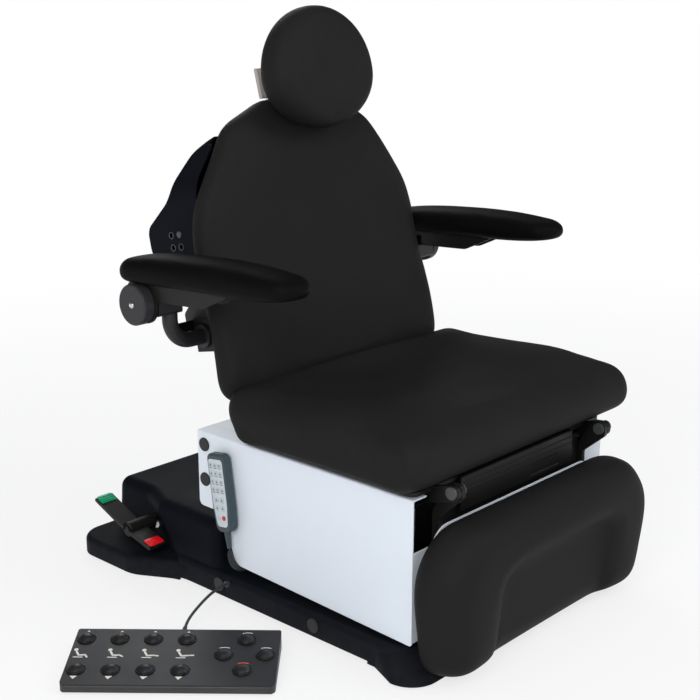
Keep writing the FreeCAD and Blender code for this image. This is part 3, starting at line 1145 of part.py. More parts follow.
def handset_cord():
    """Coiled cord, as the tube its coils fill, from the tail under the panel edge to the carriage beam."""
    half_high = (HAND_TOP_Z - HAND_BOTTOM_Z) / 2
    tail_y, tail_z = hand_point(-half_high - HAND_TAIL)
    tail_x = -(PANEL_HALF_WIDTH + HAND_STANDOFF + HAND_THICK / 2)
    ring = (-COIL_IN_X - tail_x) / 2
    centre_x = tail_x + ring
    centre_z = COIL_LOW_Z + ring
    corner = ring / math.cos(math.radians(15))
    points = [Vector(tail_x, tail_y, tail_z)]
    for step in range(6):
        turn = math.radians(195 + 30 * step)
        points.append(Vector(centre_x + corner * math.cos(turn), tail_y - 2 + step, centre_z + corner * math.sin(turn)))
    last = points[-1]
    rise = BEAM_BOTTOM_Z - last.z
    points.append(Vector(last.x + 4, last.y, last.z + rise * 0.22))
    points.append(Vector(last.x, last.y, last.z + rise * 0.55))
    points.append(Vector(last.x + 3, last.y, BEAM_BOTTOM_Z))
    return swept_cord(points, COIL_RADIUS)


def button_places():
    places = []
    for row in (1, -1):
        for column in range(4):
            places.append((BUTTON_FIRST_A + column * BUTTON_PITCH, BUTTON_MID_B + row * BUTTON_ROW_HALF))
    places.append((DIAMOND_A, BUTTON_MID_B + DIAMOND_HALF_B))
    places.append((DIAMOND_A - DIAMOND_HALF_A, BUTTON_MID_B))
    places.append((DIAMOND_A + DIAMOND_HALF_A, BUTTON_MID_B))
    places.append((DIAMOND_A, BUTTON_MID_B - DIAMOND_HALF_B))
    return places


def foot_control_case():
    """Low wedge on four rubber feet, with a round well for each button."""
    depth = FOOT_HALF_DEPTH
    side = [(-depth, FOOT_LIFT, 2.0), (-depth, FOOT_FRONT_Z, 4.0), (depth, FOOT_REAR_Z, 8.0), (depth, FOOT_LIFT, 2.0)]
    plan = [(FOOT_HALF_LENGTH, -depth, FOOT_CORNER), (FOOT_HALF_LENGTH, depth, FOOT_CORNER)]
    body = prism("yz", side, -FOOT_HALF_LENGTH, FOOT_HALF_LENGTH)
    body = body.common(prism("xy", doubled(plan), 0, FOOT_REAR_Z + 5))
    feet = []
    for a in (-FOOT_HALF_LENGTH + 30, FOOT_HALF_LENGTH - 30):
        for b in (-depth + 25, depth - 25):
            feet.append(rod_z(FOOT_PAD_RADIUS, 0, FOOT_LIFT + 1, a, b))
    wells = []
    for a, b in button_places():
        floor = foot_top(b) - BUTTON_STEM - BUTTON_TRAVEL - 1
        wells.append(rod_z(BUTTON_RADIUS + BUTTON_GAP, floor, FOOT_REAR_Z + 10, a, b))
    return to_foot(joined([body] + feet).cut(wells))


def foot_button(a, b):
    """Domed round button."""
    rim = foot_top(b) + 2
    bottom = foot_top(b) - BUTTON_STEM
    dome = BUTTON_DOME - 2
    ball = (BUTTON_RADIUS ** 2 + dome ** 2) / (2 * dome)
    barrel = rod_z(BUTTON_RADIUS, bottom, rim + dome, a, b)
    crown = Part.makeSphere(ball, Vector(a, b, rim + dome - ball))
    shaft = rod_z(BUTTON_RADIUS, bottom, rim, a, b)
    return to_foot(joined([barrel.common(crown), shaft]))


def cord_boots():
    """Tapered boot on the foot control and the grommet where its cord leaves the base."""
    boot = Part.makeCone(BOOT_RADIUS, FOOT_CORD_RADIUS + 1, BOOT_LONG, Vector(BOOT_A, FOOT_HALF_DEPTH, BOOT_Z), Vector(0, 1, 0))
    grommet = rod_x(GROMMET_RADIUS, -BASE_HALF_WIDTH - GROMMET_LONG, -BASE_HALF_WIDTH, CORD_EXIT_Y, CORD_EXIT_Z)
    neck = rod_x(GROMMET_RADIUS - 2, -BASE_HALF_WIDTH, -BASE_HALF_WIDTH + COVER_WALL, CORD_EXIT_Y, CORD_EXIT_Z)
    return Part.makeCompound([to_foot(boot), joined([grommet, neck])])


def foot_cord():
    start = Vector(-BASE_HALF_WIDTH - GROMMET_LONG, CORD_EXIT_Y, CORD_EXIT_Z)
    end = foot_point(BOOT_A, FOOT_HALF_DEPTH + BOOT_LONG, BOOT_Z)
    before_end = foot_point(BOOT_A, FOOT_HALF_DEPTH + BOOT_LONG + 28, BOOT_Z + 1)
    after_start = start + Vector(-30, 0, -1)
    middle = (after_start + before_end) * 0.5 + Vector(0, 2, 2)
    return swept_cord([start, after_start, middle, before_end, end], FOOT_CORD_RADIUS)


def build():
    """Every node by name."""
    nodes = {"base_cover": base_cover(), "base_frame": base_frame(), "skirt_plugs": skirt_plugs(),
             "column_outer": column_outer(), "column_middle": column_middle(), "column_inner": column_inner(),
             "brake_shaft": brake_shaft(), "brake_pedal": brake_pedal(), "carriage_frame": carriage_frame(),
             "rear_panel": rear_panel(), "panel_plugs": panel_plugs(), "handset": handset(),
             "handset_cord": handset_cord(), "seat_frame": seat_frame(), "hinge_pins": hinge_pins(),
             "seat_cushion": seat_cushion(), "leg_frame": leg_frame(), "leg_plate": leg_plate(),
             "leg_cushion": leg_cushion(), "back_frame": back_frame(), "back_shell": back_shell(),
             "back_cushion": back_cushion(), "headrest_post": headrest_post(), "headrest_link": headrest_link(),
             "headrest_plate": headrest_plate(), "headrest_pad": headrest_pad(), "headrest_lever": headrest_lever(),
             "foot_control_case": foot_control_case(), "cord_boots": cord_boots(), "foot_cord": foot_cord()}
    for name, x, y in castor_places():
        nodes["castor_fork_" + name] = castor_fork(x, y)
        nodes["castor_wheel_" + name] = castor_wheel(x, y)
    for name in SIDES:
        nodes["side_panel_" + name] = side_panel(name)
        nodes["arm_tube_" + name] = arm_tube(name)
        nodes["arm_channel_" + name] = arm_channel(name)
        nodes["arm_hub_" + name] = arm_hub(name)
        nodes["arm_pad_" + name] = arm_pad(name)
    for number, (a, b) in enumerate(button_places(), 1):
        nodes["foot_button_%02d" % number] = foot_button(a, b)
    return nodes


def main():
    os.makedirs("parts", exist_ok=True)
    for name, shape in build().items():
        if not shape.isValid() or shape.Volume <= 0:
            print("bad shape", name, shape.isValid(), shape.Volume)
        shape.exportStep("parts/" + name + ".step")


if __name__ == "__main__":
    main()
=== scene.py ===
import json
import math

import bmesh
import bpy
from mathutils import Matrix, Vector


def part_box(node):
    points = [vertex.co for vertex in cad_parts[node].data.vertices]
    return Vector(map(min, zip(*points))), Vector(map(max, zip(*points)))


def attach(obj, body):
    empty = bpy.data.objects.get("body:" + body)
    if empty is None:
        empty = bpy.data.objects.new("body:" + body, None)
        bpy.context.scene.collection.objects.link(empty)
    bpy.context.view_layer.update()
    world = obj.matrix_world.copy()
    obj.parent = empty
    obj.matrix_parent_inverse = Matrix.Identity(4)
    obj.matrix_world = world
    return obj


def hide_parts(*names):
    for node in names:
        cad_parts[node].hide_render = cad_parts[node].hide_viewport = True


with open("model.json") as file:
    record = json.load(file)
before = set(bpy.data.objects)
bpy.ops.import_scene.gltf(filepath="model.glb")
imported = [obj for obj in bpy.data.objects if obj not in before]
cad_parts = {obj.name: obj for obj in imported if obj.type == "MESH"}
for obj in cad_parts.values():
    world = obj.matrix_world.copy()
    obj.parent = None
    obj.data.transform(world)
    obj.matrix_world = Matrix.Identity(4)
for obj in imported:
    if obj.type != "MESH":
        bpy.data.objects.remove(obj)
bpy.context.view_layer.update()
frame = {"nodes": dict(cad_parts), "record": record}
NODES = frame["nodes"]
SCENE = bpy.context.scene
SCENE.view_settings.view_transform = "Standard"
MM = 0.001
SIDES = (("right", -1), ("left", 1))

# Camera, from the photograph's straight edges
CAMERA_PLACE = (-2.0148, -1.7058, 1.2518)
CAMERA_AZIMUTH = -47.35
CAMERA_PITCH = -15.45
CAMERA_LENS = 66.94
FLOOR_HALF = 14.0

# Places and angles on the solids, in millimetres and degrees
BACK_HINGE = (225.0, 418.0)
BACK_RECLINE = 12.0
ARM_HUB = (316.0, 649.0)
ARM_SLOPE = 3.0
HAND_MIDDLE = (203.0, 245.0)
HAND_LEAN = 8.0
HAND_FACE_X = -344.0
FOOT_MIDDLE = (-598.0, 56.0)
FOOT_TURN = -48.3
FOOT_HALF = (200.0, 95.5)
FOOT_TOP = (19.0, 39.0)

HAND_CORD_ROUTE = [(-333, 186.16, 125.18), (-333, 184.16, 99.67), (-320.67, 185.16, 78.33),
                   (-299.33, 186.16, 66), (-274.67, 187.16, 66), (-253.33, 188.16, 78.33), (-241, 189.16, 99.67),
                   (-237, 189.16, 143.75), (-241, 189.16, 209.85), (-238, 189.16, 300)]
FOOT_CORD_THICK = 0.006
FOOT_CORD_ROUTE = [(-343, 190, 44), (-373, 190, 43), (-425.37, 175.89, 35), (-477.75, 157.78, 23),
                   (-498.65, 139.16, 22)]


def studio_camera():
    data = bpy.data.cameras.new("camera")
    data.lens = CAMERA_LENS
    data.sensor_width = 36.0
    data.clip_start = 0.05
    data.clip_end = 200.0
    camera = bpy.data.objects.new("camera", data)
    azimuth = math.radians(CAMERA_AZIMUTH)
    pitch = math.radians(CAMERA_PITCH)
    gaze = Vector((-math.sin(azimuth) * math.cos(pitch), math.cos(azimuth) * math.cos(pitch), math.sin(pitch)))
    camera.location = CAMERA_PLACE
    camera.rotation_mode = "QUATERNION"
    camera.rotation_quaternion = gaze.to_track_quat("-Z", "Y")
    SCENE.collection.objects.link(camera)
    SCENE.camera = camera


def soft_lamp(name, place, aim, size, watts, tint=(1.0, 1.0, 1.0)):
    data = bpy.data.lights.new(name, "AREA")
    data.shape = "DISK"
    data.size = size
    data.energy = watts
    data.color = tint
    lamp = bpy.data.objects.new(name, data)
    lamp.location = place
    lamp.rotation_mode = "QUATERNION"
    lamp.rotation_quaternion = (Vector(aim) - Vector(place)).to_track_quat("-Z", "Y")
    SCENE.collection.objects.link(lamp)


def seen_ray(tree):
    """Value that is 1 for rays from the camera and for those that mirror or pass through."""
    path = tree.nodes.new("ShaderNodeLightPath")
    total = path.outputs["Is Camera Ray"]
    for label in ("Is Glossy Ray", "Is Transmission Ray"):
        both = tree.nodes.new("ShaderNodeMath")
        both.operation = "MAXIMUM"
        tree.links.new(total, both.inputs[0])
        tree.links.new(path.outputs[label], both.inputs[1])
        total = both.outputs[0]
    return total


def studio_room():
    world = bpy.data.worlds.new("studio")
    world.use_nodes = True
    tree = world.node_tree
    tree.nodes.clear()
    out = tree.nodes.new("ShaderNodeOutputWorld")
    mix = tree.nodes.new("ShaderNodeMixShader")
    ambient = tree.nodes.new("ShaderNodeBackground")
    ambient.inputs["Color"].default_value = (0.96, 0.98, 1.0, 1.0)
    ambient.inputs["Strength"].default_value = 0.5
    white = tree.nodes.new("ShaderNodeBackground")
    white.inputs["Color"].default_value = (1.0, 1.0, 1.0, 1.0)
    place = tree.nodes.new("ShaderNodeTexCoord")
    split = tree.nodes.new("ShaderNodeSeparateXYZ")
    wall = tree.nodes.new("ShaderNodeMapRange")
    wall.interpolation_type = "SMOOTHSTEP"
    wall.inputs["From Min"].default_value = 0.01
    wall.inputs["From Max"].default_value = 0.12
    wall.inputs["To Min"].default_value = 1.0
    wall.inputs["To Max"].default_value = 0.1
    tree.links.new(place.outputs["Generated"], split.inputs[0])
    tree.links.new(split.outputs["Z"], wall.inputs["Value"])
    tree.links.new(wall.outputs["Result"], white.inputs["Strength"])
    tree.links.new(seen_ray(tree), mix.inputs[0])
    tree.links.new(ambient.outputs[0], mix.inputs[1])
    tree.links.new(white.outputs[0], mix.inputs[2])
    tree.links.new(mix.outputs[0], out.inputs["Surface"])
    SCENE.world = world

    mesh = bpy.data.meshes.new("floor")
    half = FLOOR_HALF
    mesh.from_pydata([(-half, -half, 0), (half, -half, 0), (half, half, 0), (-half, half, 0)], [], [(0, 1, 2, 3)])
    floor = bpy.data.objects.new("floor", mesh)
    paper = bpy.data.materials.new("floor_paper")
    paper.use_nodes = True
    tree = paper.node_tree
    tree.nodes.clear()
    out = tree.nodes.new("ShaderNodeOutputMaterial")
    mix = tree.nodes.new("ShaderNodeMixShader")
    matt = tree.nodes.new("ShaderNodeBsdfDiffuse")
    matt.inputs["Color"].default_value = (0.86, 0.86, 0.87, 1.0)
    glow = tree.nodes.new("ShaderNodeEmission")
    glow.inputs["Color"].default_value = (1.0, 1.0, 1.0, 1.0)
    glow.inputs["Strength"].default_value = 1.0
    share = tree.nodes.new("ShaderNodeMath")
    share.operation = "MULTIPLY"
    shape = tree.nodes.new("ShaderNodeNewGeometry")
    reach_out = tree.nodes.new("ShaderNodeVectorMath")
    reach_out.operation = "LENGTH"
    fade = tree.nodes.new("ShaderNodeMapRange")
    fade.interpolation_type = "SMOOTHSTEP"
    fade.inputs["From Min"].default_value = 1.2
    fade.inputs["From Max"].default_value = 3.6
    fade.inputs["To Min"].default_value = 0.74
    fade.inputs["To Max"].default_value = 1.0
    tree.links.new(shape.outputs["Position"], reach_out.inputs[0])
    tree.links.new(reach_out.outputs["Value"], fade.inputs["Value"])
    tree.links.new(fade.outputs["Result"], share.inputs[1])
    tree.links.new(seen_ray(tree), share.inputs[0])
    tree.links.new(share.outputs[0], mix.inputs[0])
    tree.links.new(matt.outputs[0], mix.inputs[1])
    tree.links.new(glow.outputs[0], mix.inputs[2])
    tree.links.new(mix.outputs[0], out.inputs["Surface"])
    mesh.materials.append(paper)
    SCENE.collection.objects.link(floor)

    soft_lamp("overhead", (-0.6, -0.9, 3.4), (0, 0, 0.4), 2.6, 11)
    soft_lamp("front_left", (-3.2, -1.6, 2.3), (0, 0, 0.5), 2.0, 70, (1.0, 0.99, 0.97))
    soft_lamp("front_right", (1.4, -2.9, 2.7), (0, 0.1, 0.7), 1.8, 42)
    soft_lamp("rear", (1.8, 2.8, 2.4), (0, 0, 0.6), 1.8, 26, (0.96, 0.98, 1.0))


# Shader groups

def new_group(name, inputs, outputs):
    group = bpy.data.node_groups.new(name, "ShaderNodeTree")
    for label, kind, value in inputs:
        socket = group.interface.new_socket(label, in_out="INPUT", socket_type="NodeSocket" + kind)
        socket.default_value = value
    for label, kind in outputs:
        group.interface.new_socket(label, in_out="OUTPUT", socket_type="NodeSocket" + kind)
    return group, group.nodes.new("NodeGroupInput"), group.nodes.new("NodeGroupOutput")


def add(tree, kind, **settings):
    node = tree.nodes.new("ShaderNode" + kind)
    for key, value in settings.items():
        setattr(node, key, value)
    return node


def hide_grain_group():
    """Pebbled cells with fine pores, as on coated upholstery cloth."""
    group, start, end = new_group("hide_grain", [("Scale", "Float", 700.0)], [("Height", "Float")])
    link = group.links.new
    place = add(group, "TexCoord")
    wander = add(group, "TexNoise")
    wander.inputs["Scale"].default_value = 160.0
    shift = add(group, "VectorMath", operation="MULTIPLY_ADD")
    shift.inputs[1].default_value = (0.0016, 0.0016, 0.0016)
    cells = add(group, "TexVoronoi", feature="DISTANCE_TO_EDGE")
    rise = add(group, "MapRange", interpolation_type="SMOOTHSTEP")
    rise.inputs["From Max"].default_value = 0.32
    pores = add(group, "TexNoise")
    pores.inputs["Detail"].default_value = 3.0
    blend = add(group, "Math", operation="MULTIPLY_ADD")
    blend.inputs[1].default_value = 0.25
    link(place.outputs["Object"], wander.inputs["Vector"])
    link(wander.outputs["Color"], shift.inputs[0])
    link(place.outputs["Object"], shift.inputs[2])
    link(shift.outputs[0], cells.inputs["Vector"])
    link(start.outputs["Scale"], cells.inputs["Scale"])
    link(place.outputs["Object"], pores.inputs["Vector"])
    link(start.outputs["Scale"], pores.inputs["Scale"])
    link(cells.outputs["Distance"], rise.inputs["Value"])
    link(pores.outputs["Fac"], blend.inputs[0])
    link(rise.outputs["Result"], blend.inputs[2])
    link(blend.outputs[0], end.inputs["Height"])
    return group


def orange_peel_group():
    """Soft waviness of a sprayed or moulded skin, with a finer texture on it."""
    inputs = [("Scale", "Float", 400.0), ("Fineness", "Float", 4.0)]
    group, start, end = new_group("orange_peel", inputs, [("Height", "Float")])
    link = group.links.new
    place = add(group, "TexCoord")
    broad = add(group, "TexNoise")
    broad.inputs["Detail"].default_value = 1.0
    times = add(group, "Math", operation="MULTIPLY")
    fine = add(group, "TexNoise")
    fine.inputs["Detail"].default_value = 2.0
    blend = add(group, "Math", operation="MULTIPLY_ADD")
    blend.inputs[1].default_value = 0.35
    link(place.outputs["Object"], broad.inputs["Vector"])
    link(place.outputs["Object"], fine.inputs["Vector"])
    link(start.outputs["Scale"], broad.inputs["Scale"])
    link(start.outputs["Scale"], times.inputs[0])
    link(start.outputs["Fineness"], times.inputs[1])
    link(times.outputs[0], fine.inputs["Scale"])
    link(fine.outputs["Fac"], blend.inputs[0])
    link(broad.outputs["Fac"], blend.inputs[2])
    link(blend.outputs[0], end.inputs["Height"])
    return group


def handling_group():
    """Slow change of tone and shine, as left by wiping and handling."""
    inputs = [("Colour", "Color", (0.5, 0.5, 0.5, 1.0)), ("Tone", "Float", 0.1), ("Roughness", "Float", 0.5),
              ("Smear", "Float", 0.1), ("Scale", "Float", 9.0)]
    group, start, end = new_group("handling", inputs, [("Colour", "Color"), ("Roughness", "Float")])
    link = group.links.new
    place = add(group, "TexCoord")
    cloud = add(group, "TexNoise")
    cloud.inputs["Detail"].default_value = 5.0
    centred = add(group, "Math", operation="SUBTRACT")
    centred.inputs[1].default_value = 0.5
    gain = add(group, "Math", operation="MULTIPLY_ADD")
    gain.inputs[2].default_value = 1.0
    shade = add(group, "VectorMath", operation="SCALE")
    rough = add(group, "Math", operation="MULTIPLY_ADD")
    link(place.outputs["Object"], cloud.inputs["Vector"])
    link(start.outputs["Scale"], cloud.inputs["Scale"])
    link(cloud.outputs["Fac"], centred.inputs[0])
    link(centred.outputs[0], gain.inputs[0])
    link(start.outputs["Tone"], gain.inputs[1])
    link(start.outputs["Colour"], shade.inputs[0])
    link(gain.outputs[0], shade.inputs["Scale"])
    link(centred.outputs[0], rough.inputs[0])
    link(start.outputs["Smear"], rough.inputs[1])
    link(start.outputs["Roughness"], rough.inputs[2])
    link(shade.outputs[0], end.inputs["Colour"])
    link(rough.outputs[0], end.inputs["Roughness"])
    return group


def worn_edge_group():
    """Rounded normal at hard edges, and a broken mask where paint thins on them."""
    group, start, end = new_group("worn_edge", [("Radius", "Float", 0.001), ("Wear", "Float", 0.3)],
                                  [("Normal", "Vector"), ("Mask", "Float")])
    link = group.links.new
    round_off = add(group, "Bevel", samples=6)
    shape = add(group, "NewGeometry")
    along = add(group, "VectorMath", operation="DOT_PRODUCT")
    edge = add(group, "MapRange")
    edge.inputs["From Min"].default_value = 0.985
    edge.inputs["From Max"].default_value = 0.86
    place = add(group, "TexCoord")
    chips = add(group, "TexNoise")
    chips.inputs["Scale"].default_value = 130.0
    chips.inputs["Detail"].default_value = 6.0
    broken = add(group, "MapRange")
    broken.inputs["From Min"].default_value = 0.45
    broken.inputs["From Max"].default_value = 0.7
    both = add(group, "Math", operation="MULTIPLY")
    scaled = add(group, "Math", operation="MULTIPLY", use_clamp=True)
    link(start.outputs["Radius"], round_off.inputs["Radius"])
    link(round_off.outputs["Normal"], along.inputs[0])
    link(shape.outputs["Normal"], along.inputs[1])
    link(along.outputs["Value"], edge.inputs["Value"])
    link(place.outputs["Object"], chips.inputs["Vector"])
    link(chips.outputs["Fac"], broken.inputs["Value"])
    link(edge.outputs["Result"], both.inputs[0])
    link(broken.outputs["Result"], both.inputs[1])
    link(both.outputs[0], scaled.inputs[0])
    link(start.outputs["Wear"], scaled.inputs[1])
    link(round_off.outputs["Normal"], end.inputs["Normal"])
    link(scaled.outputs[0], end.inputs["Mask"])
    return group


def floor_dust_group():
    """Thin film of dust that gathers low down, in patches."""
    inputs = [("Colour", "Color", (0.02, 0.02, 0.02, 1.0)), ("Height", "Float", 0.1), ("Amount", "Float", 0.3)]
    group, start, end = new_group("floor_dust", inputs, [("Colour", "Color")])
    link = group.links.new
    place = add(group, "TexCoord")
    split = add(group, "SeparateXYZ")
    low = add(group, "MapRange")
    low.inputs["To Min"].default_value = 1.0
    low.inputs["To Max"].default_value = 0.0
    cloud = add(group, "TexNoise")
    cloud.inputs["Scale"].default_value = 40.0
    cloud.inputs["Detail"].default_value = 6.0
    patch = add(group, "Math", operation="MULTIPLY")
    film = add(group, "Math", operation="MULTIPLY")
    mix = add(group, "Mix", data_type="RGBA")
    mix.inputs["B"].default_value = (0.16, 0.155, 0.15, 1.0)
    link(place.outputs["Object"], split.inputs[0])
    link(split.outputs["Z"], low.inputs["Value"])
    link(start.outputs["Height"], low.inputs["From Max"])
    link(place.outputs["Object"], cloud.inputs["Vector"])
    link(low.outputs["Result"], patch.inputs[0])
    link(cloud.outputs["Fac"], patch.inputs[1])
    link(patch.outputs[0], film.inputs[0])
    link(start.outputs["Amount"], film.inputs[1])
    link(film.outputs[0], mix.inputs["Factor"])
    link(start.outputs["Colour"], mix.inputs["A"])
    link(mix.outputs["Result"], end.inputs["Colour"])
    return group


GROUPS = {"hide": hide_grain_group(), "peel": orange_peel_group(), "handling": handling_group(),
          "edge": worn_edge_group(), "dust": floor_dust_group()}


def place_group(tree, key, **values):
    node = tree.nodes.new("ShaderNodeGroup")
    node.node_tree = GROUPS[key]
    for label, value in values.items():
        node.inputs[label].default_value = value
    return node


def finish(name, colour, roughness, grain, scale, depth, tone=0.15, smear=0.15, edge=0.0, wear=0.0,
           worn=(0.2, 0.2, 0.2), dust=0.0, dust_height=0.1, metallic=0.0, specular=0.5):
    """Material of one finish: handled tone and shine, a grain, and where asked worn edges and dust."""
    material = bpy.data.materials.new(name)
    material.use_nodes = True
    tree = material.node_tree
    tree.nodes.clear()
    link = tree.links.new
    out = add(tree, "OutputMaterial")
    shader = add(tree, "BsdfPrincipled")
    shader.inputs["Metallic"].default_value = metallic
    shader.inputs["Specular IOR Level"].default_value = specular
    handled = place_group(tree, "handling", Colour=(*colour, 1.0), Tone=tone, Roughness=roughness, Smear=smear)
    tint = handled.outputs["Colour"]
    bump = add(tree, "Bump")
    bump.inputs["Strength"].default_value = 0.8
    bump.inputs["Distance"].default_value = depth
    surface = place_group(tree, grain, Scale=scale)
    link(surface.outputs["Height"], bump.inputs["Height"])
    if edge:
        rim = place_group(tree, "edge", Radius=edge, Wear=wear)
        link(rim.outputs["Normal"], bump.inputs["Normal"])
        if wear:
            mix = add(tree, "Mix", data_type="RGBA")
            mix.inputs["B"].default_value = (*worn, 1.0)
            link(rim.outputs["Mask"], mix.inputs["Factor"])
            link(tint, mix.inputs["A"])
            tint = mix.outputs["Result"]
    if dust:
        film = place_group(tree, "dust", Height=dust_height, Amount=dust)
        link(tint, film.inputs["Colour"])
        tint = film.outputs["Colour"]
    link(tint, shader.inputs["Base Color"])
    link(handled.outputs["Roughness"], shader.inputs["Roughness"])
    link(bump.outputs["Normal"], shader.inputs["Normal"])
    link(shader.outputs["BSDF"], out.inputs["Surface"])
    return material


FINISHES = {
    "vinyl": finish("pad_vinyl", (0.0155, 0.0155, 0.0157), roughness=0.58, grain="hide", scale=620.0,
                    depth=0.00012, tone=0.25, smear=0.12, specular=0.06),
    "white_enamel": finish("white_powder_coat", (0.79, 0.85, 0.93), roughness=0.38, grain="peel", scale=520.0,
                           depth=0.00006, tone=0.03, smear=0.1, edge=0.0012, wear=0.12,
                           worn=(0.45, 0.46, 0.48)),
    "black_moulding": finish("black_moulding", (0.0045, 0.0056, 0.0095), roughness=0.56, grain="peel",
                             scale=900.0, depth=0.00007, tone=0.25, smear=0.2, edge=0.002, wear=0.2,
                             worn=(0.05, 0.052, 0.06), dust=0.12, dust_height=0.09, specular=0.05),
    "black_enamel": finish("black_powder_coat", (0.0085, 0.0082, 0.0078), roughness=0.46, grain="peel",
                           scale=700.0, depth=0.00007, tone=0.25, smear=0.2, edge=0.0009, wear=0.35,
                           worn=(0.12, 0.11, 0.1), specular=0.25),
    "steel": finish("zinc_plate", (0.56, 0.56, 0.57), roughness=0.3, grain="peel", scale=1100.0, depth=0.00003,
                    tone=0.12, smear=0.2, edge=0.0006, wear=0.3, worn=(0.75, 0.75, 0.76), metallic=1.0),
    "column_metal": finish("anodised_column", (0.6, 0.61, 0.63), roughness=0.34, grain="peel", scale=1500.0,
                           depth=0.00002, tone=0.05, smear=0.1, edge=0.0012, wear=0.2, worn=(0.75, 0.75, 0.76),
                           metallic=1.0),
    "tread": finish("castor_tread", (0.03, 0.03, 0.031), roughness=0.6, grain="peel", scale=800.0,
                    depth=0.00008, tone=0.3, smear=0.15, edge=0.0012, wear=0.0, dust=0.45, dust_height=0.09),
    "plug": finish("black_cap", (0.011, 0.011, 0.013), roughness=0.46, grain="peel", scale=900.0,
                   depth=0.00005, tone=0.2, smear=0.15, edge=0.001, wear=0.0, specular=0.4),
    "hand_case": finish("slate_case", (0.034, 0.06, 0.072), roughness=0.42, grain="peel", scale=1300.0,
                        depth=0.00005, tone=0.12, smear=0.12, edge=0.0015, wear=0.25, worn=(0.11, 0.15, 0.17)),
    "cord": finish("cord_jacket", (0.034, 0.04, 0.046), roughness=0.5, grain="peel", scale=1200.0,
                   depth=0.00004, tone=0.2, smear=0.15),
    "foot_case": finish("black_texture_coat", (0.0065, 0.0067, 0.009), roughness=0.5, grain="peel",
                        scale=850.0, depth=0.00012, tone=0.25, smear=0.15, edge=0.001, wear=0.3,
                        worn=(0.09, 0.09, 0.1), dust=0.12, dust_height=0.04, specular=0.7),
    "button": finish("button_rubber", (0.013, 0.013, 0.0145), roughness=0.38, grain="hide", scale=900.0,
                     depth=0.00004, tone=0.25, smear=0.2, edge=0.0008, wear=0.0),
    "grip": finish("warm_grey_grip", (0.42, 0.39, 0.36), roughness=0.35, grain="peel", scale=900.0,
                   depth=0.00004, tone=0.1, smear=0.1, edge=0.0015, wear=0.15, worn=(0.55, 0.52, 0.5)),
}
# Arm pad cover: a darker copy of the pad vinyl, which paints shade over the whole arm pads.
ARM_VINYL_PAINTED_SHADE = finish("arm_vinyl_painted_shade", (0.0036, 0.0036, 0.0038), roughness=0.58, grain="peel", scale=900.0,
                  depth=0.00005, tone=0.25, smear=0.12, specular=0.05)
# Arm hub finish: the semi-gloss black hub gets a grey base colour as painted reflection, and its lighter worn rim
# is partly wear and partly a painted highlight.
HUB_PAINTED_REFLECTION = finish("hub_painted_reflection", (0.036, 0.036, 0.04), roughness=0.4, grain="peel", scale=1000.0, depth=0.00005,
                  tone=0.2, smear=0.2, edge=0.002, wear=0.25, worn=(0.1, 0.1, 0.11), specular=0.16)
SCREW_STEEL = finish("bright_screw", (0.66, 0.66, 0.67), roughness=0.24, grain="peel", scale=1400.0,
                     depth=0.00002, tone=0.08, smear=0.15, metallic=1.0)
KEYPAD_FILM = finish("keypad_film", (0.6, 0.66, 0.71), roughness=0.4, grain="peel", scale=1500.0,
                     depth=0.00003, tone=0.05, smear=0.1)
KEY_FACE = finish("key_face", (0.5, 0.56, 0.61), roughness=0.42, grain="peel", scale=1500.0, depth=0.00003,
                  tone=0.06, smear=0.1)
KEY_INK = finish("key_ink", (0.05, 0.06, 0.07), roughness=0.5, grain="peel", scale=1500.0, depth=0.00002,
                 tone=0.1, smear=0.1)
EYELET_GREY = finish("dull_eyelet", (0.09, 0.095, 0.1), roughness=0.5, grain="peel", scale=1200.0,
                     depth=0.00002, tone=0.1, smear=0.15, metallic=0.5)
RED_KEY = finish("red_key", (0.52, 0.02, 0.02), roughness=0.35, grain="peel", scale=1500.0, depth=0.00003,
                 tone=0.08, smear=0.1)
GREEN_TAB = finish("green_tab", (0.0, 0.36, 0.16), roughness=0.35, grain="peel", scale=900.0, depth=0.00005,
                   tone=0.1, smear=0.15)
RED_TAB = finish("red_tab", (0.85, 0.006, 0.014), roughness=0.35, grain="peel", scale=900.0, depth=0.00005,
                 tone=0.1, smear=0.15)
WHITE_INK = finish("white_ink", (0.72, 0.7, 0.64), roughness=0.5, grain="peel", scale=1500.0, depth=0.00002,
                   tone=0.1, smear=0.1)
ORANGE_INK = finish("orange_ink", (0.72, 0.11, 0.03), roughness=0.5, grain="peel", scale=1500.0, depth=0.00002,
                    tone=0.1, smear=0.1)


def dress_solids():
    """Gives each solid the finish of its slot in the record, but the arm hubs take a grey with painted reflection,
    and the brake shaft, arm tubes and hinge pins take other finishes.
    """
    for row in frame["record"]["subparts"]:
        node = NODES[row["node"]]
        material = FINISHES[row["material_slot"]]
        # The arm hubs take the grey finish with painted reflection.
        if row["node"].startswith("arm_hub"):
            material = HUB_PAINTED_REFLECTION
        elif row["node"] == "brake_shaft":
            material = FINISHES["black_enamel"]
        elif row["node"].startswith("arm_tube"):
            material = FINISHES["plug"]
        elif row["node"] == "hinge_pins":
            material = EYELET_GREY
        for held in node.material_slots:
            held.material = material


# Small tools for meshes

def piece(name, bm, material, body):
    mesh = bpy.data.meshes.new(name)
    bmesh.ops.recalc_face_normals(bm, faces=bm.faces[:])
    bm.to_mesh(mesh)
    bm.free()
    obj = bpy.data.objects.new(name, mesh)
    mesh.materials.append(material)
    SCENE.collection.objects.link(obj)
    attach(obj, body)
    return obj


def smooth_faces(bm, angle=40.0):
    for face in bm.faces:
        face.smooth = True
    for edge in bm.edges:
        edge.smooth = len(edge.link_faces) != 2 or edge.calc_face_angle(0.0) < math.radians(angle)


